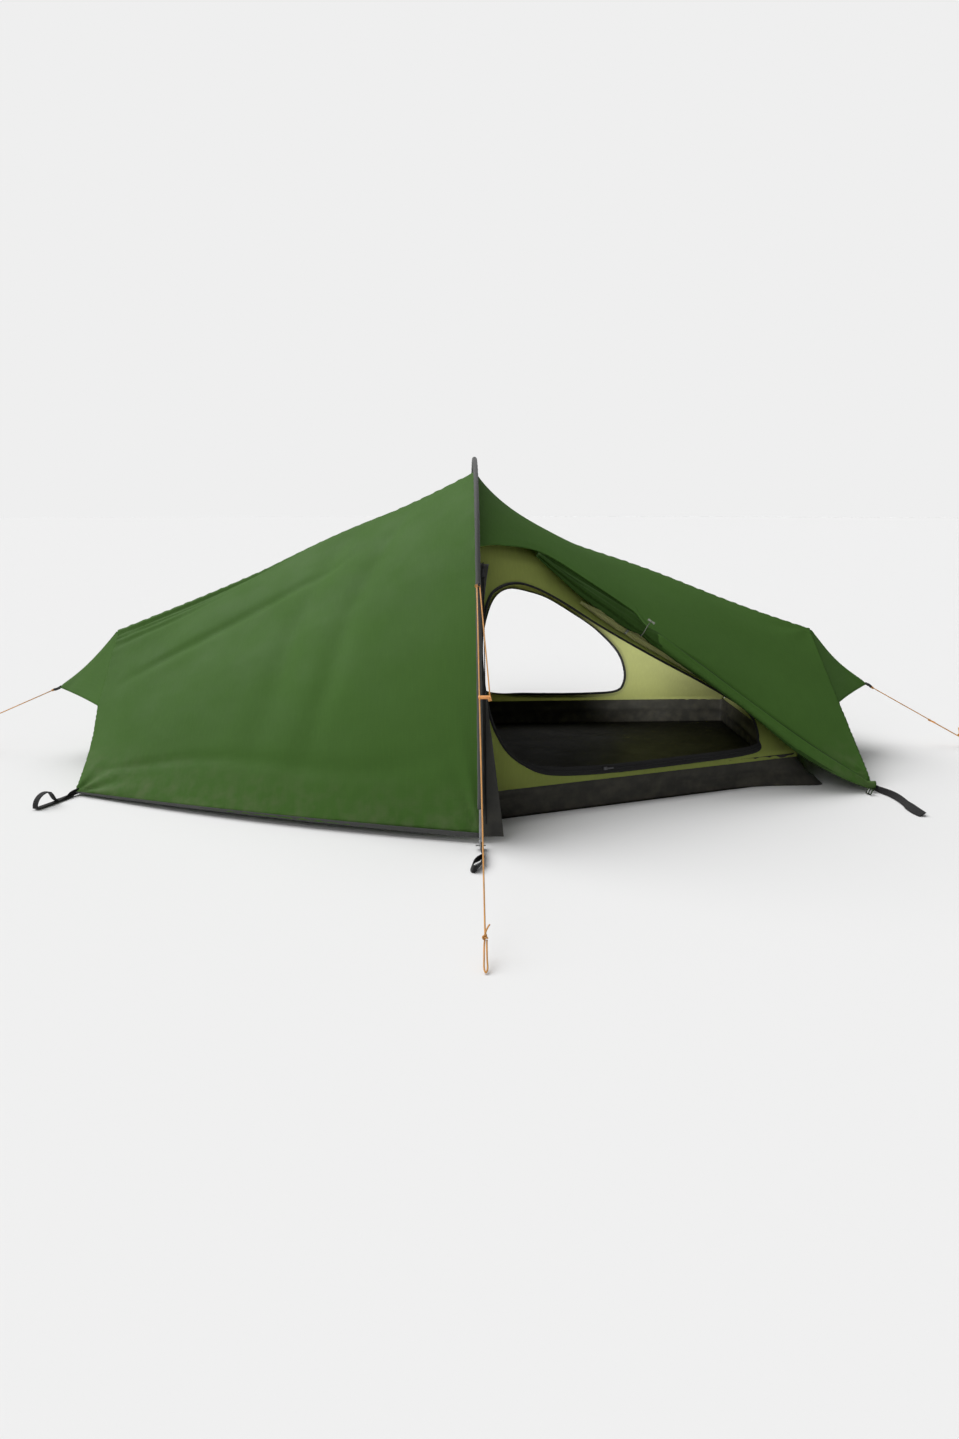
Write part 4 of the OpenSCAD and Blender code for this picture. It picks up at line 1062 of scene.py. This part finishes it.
def make_header(name, sign):
    u = np.linspace(0.002, 0.20, 40)[:, None]
    drop = np.linspace(-0.0055, 0.0055, 5)[None, :]
    u, drop = np.broadcast_arrays(u, drop)
    w = sign * (door_edge(u) + (drop - 0.006) / PANEL_HEIGHT)
    plain = right_fly(u, w)
    points = plain + grid_normals(plain) * 0.0018 * (-sign)
    piece = sheet(name, points, "grey_webbing", 0.0012, material=CLOSE_CLOTH["flap"])
    place(piece)


make_hem("near_hem_binding", -1, ["hem_bindings"])
make_hem("far_hem_binding", 1)
for side_name, side_sign in SIDES:
    make_header(f"{side_name}_door_header", side_sign)

# ---- the ends: hoods, end panels, vents, strut sleeves ----
HOOD_SPLIT = 0.50
HOOD_HOLLOW = 0.016
HOOD_RIM_HOLLOW = 0.006
HOOD_TUCK = 0.004
STRUT_BACK = 0.016
SPLIT_Y = CORNER_Y * HOOD_SPLIT
SPLIT_Z = STRUT_TOP_Z * (1 - HOOD_SPLIT)


def hood_surface(strut_x, s, q):
    """The hood: s from the strut's top down to its open edge, q from one side (-1) over the crest (0)."""
    v = HOOD_SPLIT * s
    w = 1 - np.abs(q)
    top = [strut_x + (CORNER_X - strut_x) * v - HOOD_TUCK, np.sign(q) * (CORNER_Y * v - 0.001),
           STRUT_TOP_Z + (0.010 - STRUT_TOP_Z) * v - 0.0012]
    outer = [strut_x + FLY_EDGE + (HOOD_REACH - FLY_EDGE) * s, 0 * s,
             STRUT_TOP_Z + (HOOD_Z - STRUT_TOP_Z) * s - HOOD_HOLLOW * np.sin(np.pi * s)]
    x, y, z = (a + (b - a) * w for a, b in zip(top, outer))
    return np.stack([x - HOOD_RIM_HOLLOW * np.sin(np.pi * w) * s, y, z], -1)


def make_hood(name, strut_x, end):
    s, q = np.meshgrid(even(0.02, 1, 50), np.linspace(-1, 1, 71), indexing="ij")
    plain = hood_surface(strut_x, s, q)
    normal = grid_normals(plain)
    reach = np.linalg.norm(plain - hood_surface(strut_x, np.array(1.0), np.array(0.0)), axis=-1)
    folds = 0.0028 * np.sin(q * 17 + 1) * bell(reach / 0.09) * smooth(reach / 0.02)
    folds = folds + 0.0018 * swell(s, q, 3.0 + end)
    points = (plain + normal * folds[..., None]) * np.array([end, 1, 1])
    piece = sheet(name + "_cloth", points, "fly_green")
    place(piece, [name])
    edge = hood_surface(strut_x, np.ones(81), np.linspace(-1, 1, 81)) * np.array([end, 1, 1])
    place(tube(name + "_edge_tape", edge, 0.0017, "fly_green", 6, (0, 0.01, 1)))


def end_plane(strut_x, y, z, back=0.006):
    return np.stack([CORNER_X - back + (strut_x - CORNER_X) * z / STRUT_TOP_Z, y, z], -1)


def end_cloth(name, strut_x, end, low, high, slot, relief, replaced, hollow=0.0):
    """A flat panel in the plane of an end. low and high are each the half width and the height of an edge."""
    t, h = np.meshgrid(np.linspace(-1, 1, 70), np.linspace(0, 1, 30), indexing="ij")
    half = low[0] + (high[0] - low[0]) * h
    z = low[1] + (high[1] - low[1]) * h
    points = end_plane(strut_x, t * half, z)
    waves = relief * swell(t, h, 5.0 + end) * np.sin(np.pi * h) * (1 - t * t)
    points[..., 0] += waves - 0.004 * np.sin(np.pi * h)
    points[..., 0] -= hollow * np.sin(np.pi * h) * t * t
    points *= np.array([end, 1, 1])
    piece = sheet(name, points, slot)
    place(piece, replaced)


def make_end(side, strut_x, end):
    make_hood(f"{side}_hood", strut_x, end)
    foot_edge = (CORNER_Y - 0.008, 0.014)
    seam_below = (SPLIT_Y - 0.004, SPLIT_Z - 0.004)
    seam_above = (SPLIT_Y - 0.008, SPLIT_Z - 0.002)
    top_edge = (0.008, STRUT_TOP_Z - 0.014)
    end_cloth(f"{side}_end_cloth", strut_x, end, foot_edge, seam_below, "fly_green", 0.004,
              [f"{side}_end_panel"], END_HOLLOW if end < 0 else 0.0)
    end_cloth(f"{side}_vent_mesh", strut_x, end, seam_above, top_edge, "vent_mesh", 0.002,
              ["end_vent_meshes"] if end > 0 else [])
    foot = end_plane(strut_x, 0.0, 0.030, STRUT_BACK)
    head = end_plane(strut_x, 0.0, STRUT_TOP_Z - 0.054, STRUT_BACK)
    run = np.linspace(0, 1, 60)[:, None]
    path = (foot + (head - foot) * run) * np.array([end, 1, 1])
    loose = 0.0058 * (1 + 0.08 * np.sin(run[:, 0] * 70) + 0.05 * np.sin(run[:, 0] * 31 + end))
    sleeve = tube(f"{side}_strut_cloth", path, loose, "grey_webbing", 14, (0, 1, 0), CLOSE_CLOTH["sleeve"])
    place(sleeve, ["strut_sleeves"] if end > 0 else [])


make_end("right", RIGHT_STRUT_X, 1)
make_end("left", LEFT_STRUT_X, -1)

# ---- the inner tent ----
INNER_END_Z = 0.395
INNER_RIDGE_SAG = 0.050
INNER_LIFT = 0.002
INNER_EDGE = 0.0006
INNER_LENGTH = 1.1
INNER_HEIGHT = 1.15
WALL_OVERLAP = 0.013           # how far the inner wall hangs over the waterproof wall
NEAR_SECTION = [(-FLOOR_NEAR_Y, BATHTUB_H), (-0.810, 0.300), (-0.745, 0.520), (-0.610, 0.700),
                (-0.430, 0.830), (-0.220, 0.905), (0, 0.930)]
FAR_SECTION = [(FLOOR_FAR_Y, BATHTUB_H), (0.420, 0.300), (0.430, 0.500), (0.420, 0.660),
               (0.360, 0.800), (0.200, 0.900), (0, 0.930)]


def section_at(section, v):
    curve = through(section, 20)
    s = np.clip(v, 0, 1) * (len(curve) - 1)
    index = np.arange(len(curve))
    return np.interp(s, index, curve[:, 0]), np.interp(s, index, curve[:, 1])


def inner_point(side, u, v):
    """An inner wall: u from the pole to the end, v from the waterproof wall to the ridge."""
    y, z = section_at(NEAR_SECTION if side < 0 else FAR_SECTION, v)
    end_y = side * FLOOR_END_Y * (1 - v)
    end_z = BATHTUB_H * (1 - v) + INNER_END_Z * v
    z = z + (end_z - z) * u - INNER_RIDGE_SAG * 4 * u * (1 - u) * v * v + INNER_LIFT
    z = z - WALL_OVERLAP * smooth(1 - v / 0.03)
    return np.stack([FLOOR_X * u, y + (end_y - y) * u, z], -1)


def inner_normal(side, u, v):
    e = 0.01
    du = inner_point(side, u + e, v) - inner_point(side, u - e, v)
    dv = inner_point(side, u, v + e) - inner_point(side, u, v - e)
    return side * unit(np.cross(dv, du))


def inner_relief(u, v, seed):
    x, y = u * INNER_LENGTH, v * INNER_HEIGHT
    slow = 0.0045 * swell(u * 1.5, v * 1.5, seed) * smooth(5 * u) * smooth(5 * (1 - u)) * smooth(5 * v)
    return slow + 0.0009 * seam_gather(y, x, 0.05, 0.02) + 0.0009 * seam_gather(x, y, 0.04, 0.02)


def make_inner_left():
    within = 1 - INNER_EDGE
    u, t = np.meshgrid(even(INNER_EDGE, within, 80), np.linspace(-within, within, 131), indexing="ij")
    v = 1 - np.abs(t)
    near = inner_point(-1, u, v) + inner_normal(-1, u, v) * inner_relief(u, v, 2.0)[..., None]
    far = inner_point(1, u, v) + inner_normal(1, u, v) * inner_relief(u, v, 6.0)[..., None]
    points = np.where((t < 0)[..., None], near, far) * np.array([-1, 1, 1])
    piece = sheet("inner_left_cloth", points, "inner_olive")
    place(piece, ["inner_left_near", "inner_left_far"])


NEAR_DOOR = [(0.125, 0.065), (0.040, 0.150), (0.008, 0.29), (0.025, 0.42), (0.070, 0.485), (0.14, 0.525),
             (0.24, 0.525), (0.37, 0.490), (0.54, 0.445), (0.70, 0.393), (0.82, 0.32), (0.865, 0.24),
             (0.87, 0.12), (0.84, 0.05), (0.60, 0.03), (0.28, 0.03)]
FAR_DOOR = [(0.06, 0.04), (0.03, 0.09), (0.028, 0.17), (0.05, 0.29), (0.085, 0.390), (0.139, 0.455),
            (0.21, 0.480), (0.285, 0.488), (0.38, 0.458), (0.478, 0.408), (0.555, 0.318), (0.590, 0.22),
            (0.597, 0.12), (0.565, 0.055), (0.45, 0.035), (0.25, 0.030)]
WALL_OUTLINE = [(0.10, 0), (0, 0), (0, 0.25), (0, 0.50), (0, 0.75), (0, 1), (0.25, 1), (0.45, 1),
                (0.65, 1), (0.85, 1), (1, 1), (1, 0.5), (1, 0), (0.84, 0), (0.60, 0), (0.35, 0)]
DOOR_STEPS = 12


def straight_between(points, steps):
    p = np.asarray(points, float)
    after = np.roll(p, -1, 0)
    t = np.linspace(0, 1, steps, endpoint=False)[None, :, None]
    return (p[:, None] + (after - p)[:, None] * t).reshape(-1, 2)


def make_door_wall(name, side, door):
    outline = straight_between(WALL_OUTLINE, DOOR_STEPS)[:, None]
    hole = through(door, DOOR_STEPS, closed=True)[:, None]
    r = even(0, 1, 26, 0.3)[None, :, None]
    uv = outline * (1 - r) + hole * r
    u, v = (INNER_EDGE + (1 - 2 * INNER_EDGE) * uv[..., k] for k in (0, 1))
    relief = inner_relief(u, v, 8.0 + side) * (1 - 0.7 * r[..., 0] ** 4)
    points = inner_point(side, u, v) + inner_normal(side, u, v) * relief[..., None]
    uv = np.stack([u * INNER_LENGTH, v * INNER_HEIGHT], -1)
    # the near wall takes the olive copy with painted green light
    piece = sheet(name + "_cloth", points, "inner_olive", closed=True,
                  material=CLOSE_CLOTH["near_olive_painted_green_light"] if side < 0 else None, uv=uv)
    place(piece, [name])


def off_wall(side, uv, gap):
    u, v = uv[..., 0], uv[..., 1]
    return inner_point(side, u, v) + gap * inner_normal(side, u, v)


def make_inner_zip(name, side, door, replaced=()):
    """Zip tape and coil round an inner door's opening."""
    hole = through(door, DOOR_STEPS, closed=True)
    centre = hole.mean(0)
    path = off_wall(side, hole, 0.0022)
    inward = off_wall(side, hole + 0.02 * (centre - hole), 0.0022) - path
    along = unit(np.roll(path, -1, 0) - np.roll(path, 1, 0))
    inward = unit(inward - (inward * along).sum(1, keepdims=True) * along)
    low = smooth((0.10 - hole[:, 1]) / 0.05) * smooth((hole[:, 0] - 0.10) / 0.10)
    if side < 0:
        width = 0.009 + 0.018 * low
    else:
        width = 0.009 + 0.011 * np.maximum(smooth((hole[:, 0] - 0.40) / 0.12), low)
    place(ribbon(f"{name}_zip_tape", path, inward, width, "zip_tape", 0.0009, True), replaced)
    fine = through(hole, 4, closed=True)
    coil = off_wall(side, fine, 0.0042)
    coil = np.concatenate([coil, coil[:1] + 0.0005 * along[:1]])
    teeth = 0.0016 * (1 + 0.25 * (-1.0) ** np.arange(len(coil)))
    place(tube(f"{name}_zip_coil", coil, teeth, "zip_tape", 6, (0, side, 0.3)))


NEAR_BUNDLE = [(0.30, 0.540), (0.42, 0.510), (0.54, 0.475), (0.68, 0.430), (0.79, 0.372)]
FAR_BUNDLE = [(0.17, 0.54), (0.24, 0.54), (0.32, 0.53), (0.41, 0.49), (0.49, 0.44), (0.56, 0.38)]
BUNDLE_R = 0.015
BUNDLE_TIES = (0.3, 0.75)


def bundle_folds(s, turn):
    fold = 0.0024 * np.sin(11 * turn + 5 * s) + 0.0012 * np.sin(17 * turn - 9 * s)
    return fold + 0.0012 * np.sin(3 * turn + 17 * s)


def make_inner_roll(name, side, route, replaced=()):
    uv = through(route, 16)
    path = off_wall(side, uv, BUNDLE_R + 0.002)
    s = np.linspace(0, 1, len(path))
    ends = np.minimum(smooth(s / 0.25), smooth((1 - s) / 0.20))
    radius = BUNDLE_R * (0.22 + 0.78 * ends)
    for tie in BUNDLE_TIES:
        radius = radius * (1 - 0.25 * bell((s - tie) / 0.025))
    piece = rolled(f"{name}_inner_door_roll", path, radius, 4, "inner_olive", (0, 0, 1), 1.0, bundle_folds,
                   steps=40)
    place(piece, replaced)
    _, across, top = frames_along(path, (0, 0, 1))
    turn = np.linspace(0, 2 * np.pi, 33)[:-1, None]
    for number, tie in enumerate(BUNDLE_TIES):
        i = int(tie * (len(path) - 1))
        ring = path[i] + (radius[i] + 0.0015) * (np.cos(turn) * across[i] + np.sin(turn) * top[i])
        width = unit(path[i + 1] - path[i - 1])
        place(ribbon(f"{name}_inner_tie_{number + 1}", ring, width, 0.007, "elastic", 0.0010, True))


FLOOR_T = 0.0012
BATHTUB_STAND = 0.0048         # how far the waterproof wall stands inside the inner wall
CORNER_FLARE = (0.085, 0.042)


def floor_edge(x, corner_y, middle_y):
    return middle_y + (corner_y - middle_y) * np.abs(x) / FLOOR_X


def make_groundsheet():
    x, t = np.meshgrid(np.linspace(-FLOOR_X, FLOOR_X, 150), np.linspace(0, 1, 90), indexing="ij")
    near = floor_edge(x, -FLOOR_END_Y, -FLOOR_NEAR_Y)
    far = floor_edge(x, FLOOR_END_Y, FLOOR_FAR_Y)
    y = near + (far - near) * t
    border = smooth(t / 0.06) * smooth((1 - t) / 0.06) * smooth((1 - np.abs(x) / FLOOR_X) / 0.05)
    ridges = np.maximum(0, np.sin(9 * x + 14 * y + 1.5 * np.sin(5 * y))) ** 3
    ridges = ridges + 0.7 * np.maximum(0, np.sin(17 * y - 6 * x + 2 * np.sin(3 * x))) ** 4
    z = FLOOR_T + 0.0042 * ridges * border * (0.6 + 0.4 * swell(x, y, 9.0))
    z = z + 0.0012 * border * (1 + swell(2 * x, 2 * y, 4.0))
    points = np.stack([x, y, z], -1)
    # the floor takes the darker tone of the groundsheet fabric: painted shade
    piece = sheet("groundsheet_cloth", points, "groundsheet_black", FLOOR_T, uv=points[..., :2])
    place(piece, ["groundsheet"])


def make_bathtub():
    corners = np.array([(-FLOOR_X, -FLOOR_END_Y), (0, -FLOOR_NEAR_Y), (FLOOR_X, -FLOOR_END_Y),
                        (FLOOR_X, FLOOR_END_Y), (0, FLOOR_FAR_Y), (-FLOOR_X, FLOOR_END_Y)])
    path = []
    for here, after in zip(corners, np.roll(corners, -1, 0)):
        count = int(np.linalg.norm(after - here) / 0.012)
        path.append(here + (after - here) * np.linspace(0, 1, count, endpoint=False)[:, None])
    path = np.concatenate(path)
    for _ in range(3):
        path = (np.roll(path, 1, 0) + 2 * path + np.roll(path, -1, 0)) / 4
    along = unit(np.roll(path, -1, 0) - np.roll(path, 1, 0))
    inward = np.stack([-along[:, 1], along[:, 0]], -1)
    run = run_along(path)[:, None]
    h = np.linspace(0, 1, 16)[None, :]
    fold = 0.0100 * bell((h - 0.52 - 0.10 * np.sin(run * 2.2)) / 0.11) * (0.7 + 0.3 * np.sin(run * 3.1))
    stand = BATHTUB_STAND + fold + 0.0020 * np.sin(run * 21 + 5 * h) * np.sin(np.pi * h)
    stand = stand + 0.0014 * np.sin(run * 57) * h * (1 - h) * 4
    away = np.min(np.linalg.norm(path[:, None] - corners[None, [0, 2, 3, 5]], axis=-1), axis=1)[:, None]
    flare = np.sign(path) * np.array(CORNER_FLARE) * bell(away / 0.11) * (path[:, 1:] < 0)
    xy = path[:, None] + inward[:, None] * stand[..., None] + flare[:, None] * ((1 - h) ** 1.3)[..., None]
    z = 0.0008 + (BATHTUB_H - 0.0008) * h + 0 * run
    points = np.concatenate([xy, z[..., None]], -1)
    uv = np.stack(np.broadcast_arrays(run, h * BATHTUB_H), -1)
    # the waterproof wall takes the lighter copy of the groundsheet fabric: painted light
    piece = sheet("bathtub_cloth", points, "groundsheet_black", FLOOR_T, closed=True,
                  material=CLOSE_CLOTH["wall"], uv=uv)
    place(piece, ["bathtub_walls"])


def make_inner_end(side, end):
    t, h = np.meshgrid(np.linspace(-1, 1, 60), np.linspace(0, 1, 30), indexing="ij")
    half = FLOOR_END_Y - 0.008 + (0.004 - FLOOR_END_Y + 0.008) * h
    z = BATHTUB_H - 0.006 + (INNER_END_Z - BATHTUB_H) * h
    bow = 0.005 * np.sin(np.pi * h) * (1 - t * t) + 0.002 * swell(t, h, 2.0 + end) * np.sin(np.pi * h)
    points = np.stack([(FLOOR_X - 0.0032 - bow) * end, t * half, z], -1)
    piece = sheet(f"inner_{side}_end_cloth", points, "inner_olive")
    place(piece, [f"inner_{side}_end"])


make_inner_left()
make_door_wall("inner_right_near", -1, NEAR_DOOR)
make_door_wall("inner_right_far", 1, FAR_DOOR)
make_inner_zip("near", -1, NEAR_DOOR, ["inner_door_zips"])
make_inner_zip("far", 1, FAR_DOOR)
make_inner_roll("near", -1, NEAR_BUNDLE, ["inner_door_rolls"])
make_inner_roll("far", 1, FAR_BUNDLE)
make_groundsheet()
make_bathtub()
make_inner_end("right", 1)
make_inner_end("left", -1)


# ---- ties, webbing loops and straps ----
def stadium(length, width):
    """A long loop with round ends, from 0 to length along its first axis."""
    r = width / 2
    steps = 10
    turn = np.linspace(-90, 90, steps)
    far_end = [(length - r + r * cos(a), r * sin(a)) for a in turn]
    gap = (length - width) / steps
    out = [(r + gap * k, -r) for k in range(1, steps)]
    back = [(length - r - gap * k, r) for k in range(1, steps)]
    return np.array(out + far_end + back + [(r - r * cos(a), r * sin(a)) for a in turn[::-1]])


def make_tie(name, sign, replaced=()):
    """The elastic loop that holds a rolled door, from the roof round the roll to its toggle."""
    along = unit(ROLL_FOOT - ROLL_TOP)
    turn = math.atan2(along[1], along[0])
    tilt = math.acos(along[2])
    ex = np.array([math.cos(turn) * math.cos(tilt), math.sin(turn) * math.cos(tilt), -math.sin(tilt)])
    ey = np.array([-math.sin(turn), math.cos(turn), 0])
    centre = ROLL_TOP + (ROLL_FOOT - ROLL_TOP) * TIE_AT - np.array([0, 0, 0.007])
    angles = np.linspace(120, -215, 15)[:11]
    ring = [0.0195 * np.array([cos(a), sin(a)]) for a in angles]
    out = [np.array([-0.024, -0.020]), np.array([-0.031, -0.033]), np.array([-0.034, -0.040])]
    flat = through([*ring, *out], 6)
    path = centre + flat[:, :1] * ex + flat[:, 1:] * ey
    path[:, 2] += 0.007 * smooth(np.linspace(-1.5, 1, len(path)))
    if sign > 0:
        path = mirrored(path)
    place(tube(name, path, 0.0014, "elastic", 8, along), replaced)


def pinched(length, width, open_from):
    """A loop whose two sides are sewn together up to open_from of its length."""
    t = np.sin(np.linspace(0, np.pi / 2, 26)) ** 1.3
    opened = np.clip((t - open_from) / (1 - open_from), 0, 1)
    swelling = np.sqrt(np.clip(4 * opened * (1 - opened), 0, 1))
    half = 0.0011 + (width / 2 - 0.0011) * swelling * smooth(opened * 3)
    half[-1] = 0.0
    out = np.stack([t * length, -half], -1)
    back = np.stack([t[:-1] * length, half[:-1]], -1)[::-1]
    return np.concatenate([out, back])


def webbing_loop(name, start, along, side, up, flat, tall, slot, tilt=0.0, wave=0.0, replaced=()):
    """A sewn loop of webbing: flat is its outline along and to the side, and tall is its tape's width."""
    along, side, up = (unit(np.asarray(a, float)) for a in (along, side, up))
    run = flat[:, :1] / flat[:, 0].max()
    path = np.asarray(start, float) + flat[:, :1] * along + flat[:, 1:] * side
    path = path + wave * np.sin(np.pi * 1.6 * run) * side
    lean = tilt * smooth(run / 0.6)
    spread_dir = np.cos(lean) * up + np.sin(lean) * side
    path = path - up * tall / 2 * (1 - np.cos(lean)) + up * 0.002 * np.sin(np.pi * run)
    return place(ribbon(name, path, spread_dir, tall, slot, WEBBING_T, True, 6), replaced)


STRAP_W = 0.020                # the part's straps are 15 mm wide


def make_guy_loops():
    for name, sign in SIDES:
        y, z = pole_at(-GUY_SLOPE, -SLEEVE_D / 2 - 0.0003)
        start = np.array([0, -sign * float(y), float(z)])
        out = np.array([0, sign * sin(GUY_SLOPE), cos(GUY_SLOPE)])
        webbing_loop(f"{name}_guy_loop", start, out, np.cross(out, (1, 0, 0)), (1, 0, 0),
                     stadium(0.022, 0.012), 0.006, "grey_webbing",
                     replaced=["guy_loops"] if name == "near" else [])
    ends = (("left", LEFT_STRUT_X, LEFT_PEG_REACH, -1), ("right", RIGHT_STRUT_X, RIGHT_PEG_REACH, 1))
    for name, strut_x, reach, end in ends:
        tip = hood_tip(strut_x, end)
        along = unit(np.array([end * (strut_x + HOOD_REACH + reach), 0, PEG_Z]) - tip)
        webbing_loop(f"{name}_hood_tab", tip - along * 0.006, along, (0, 1, 0), np.cross(along, (0, 1, 0)),
                     stadium(0.030, 0.006), 0.009, "grey_webbing")


def standing_strap(name, corner, x, y, turn, length, width, open_from, x_sign, y_sign):
    """A peg loop whose opening stands up from the ground: its tape twists from on edge to flat."""
    along = np.array([cos(turn) * x_sign, -sin(turn) * y_sign, 0])
    start = np.array([x * x_sign, y * y_sign, 0.0042])
    side = np.array([-along[1], along[0], 0])
    flat = pinched(length, width, open_from)
    flat[:, 1] = 2 * np.maximum(flat[:, 1], 0) - 0.0002
    webbing_loop(name, start, along, (0, 0, 1), side, flat, STRAP_W, "black_webbing")
    corner = np.array([corner[0] * x_sign, corner[1] * y_sign, corner[2]])
    root = start + along * length * open_from * 0.8 + np.array([0, 0, 0.0022])
    run = np.linspace(0, 1, 24)[:, None]
    path = corner + (root - corner) * run
    path[:, 2] = corner[2] + (root[2] - corner[2]) * smooth(run[:, 0])
    turned = np.radians(12 + 78 * smooth((run - 0.35) / 0.65))
    width_dir = np.cos(turned) * np.array([0, 0, 1]) + np.sin(turned) * side
    place(ribbon(name + "_tab", path, width_dir, STRAP_W - 0.001, "black_webbing", 0.0022))


def ground_strap(name, corner, x, y, turn, length, width, open_from, x_sign, y_sign, tilt, wave, replaced=()):
    """A peg loop on edge on the ground, sewn to a corner. x, y and turn are the near right quarter's."""
    along = np.array([cos(turn) * x_sign, -sin(turn) * y_sign, 0])
    start = np.array([x * x_sign, y * y_sign, 0.0006 + STRAP_W / 2])
    side = np.array([-along[1], along[0], 0])
    flat = pinched(length, width, open_from)
    webbing_loop(name, start, along, side, (0, 0, 1), flat, STRAP_W, "black_webbing", tilt, wave, replaced)
    corner = np.array([corner[0] * x_sign, corner[1] * y_sign, corner[2]])
    root = start + along * 0.004
    run = np.linspace(0, 1, 14)[:, None]
    path = corner + (root - corner) * run
    path[:, 2] += 0.002 * np.sin(np.pi * run[:, 0])
    place(ribbon(name + "_tab", path, (0.15, 0, 1), STRAP_W - 0.001, "black_webbing", 0.0022))


CORNER_TOP = (CORNER_X - 0.012, -CORNER_Y + 0.012, 0.012)
FOOT_TOP = (0.002, -POLE_REACH + 0.004, 0.012)
LEFT_STRAP = (CORNER_X + 0.002, -CORNER_Y - 0.018, 67, 0.140, 0.040, 0.42)
RIGHT_STRAP = (CORNER_X + 0.006, -CORNER_Y - 0.026, 81, 0.235, 0.012, 0.55)
FOOT_STRAP = (0.004, -POLE_REACH - 0.018, 97, 0.140, 0.020, 0.40)


def make_straps():
    for name, y_sign in (("near", 1), ("far", -1)):
        first = ["peg_straps"] if name == "near" else []
        ground_strap(f"right_{name}_strap", CORNER_TOP, *RIGHT_STRAP, 1, y_sign, 1.0, 0.010, first)
        standing_strap(f"left_{name}_strap", CORNER_TOP, *LEFT_STRAP, -1, y_sign)
        ground_strap(f"{name}_foot_strap", FOOT_TOP, *FOOT_STRAP, 1, y_sign, 0.35, 0.006)


make_tie("near_tie_loop", -1, ["door_tie_loops"])
make_tie("far_tie_loop", 1)
make_guy_loops()
make_straps()
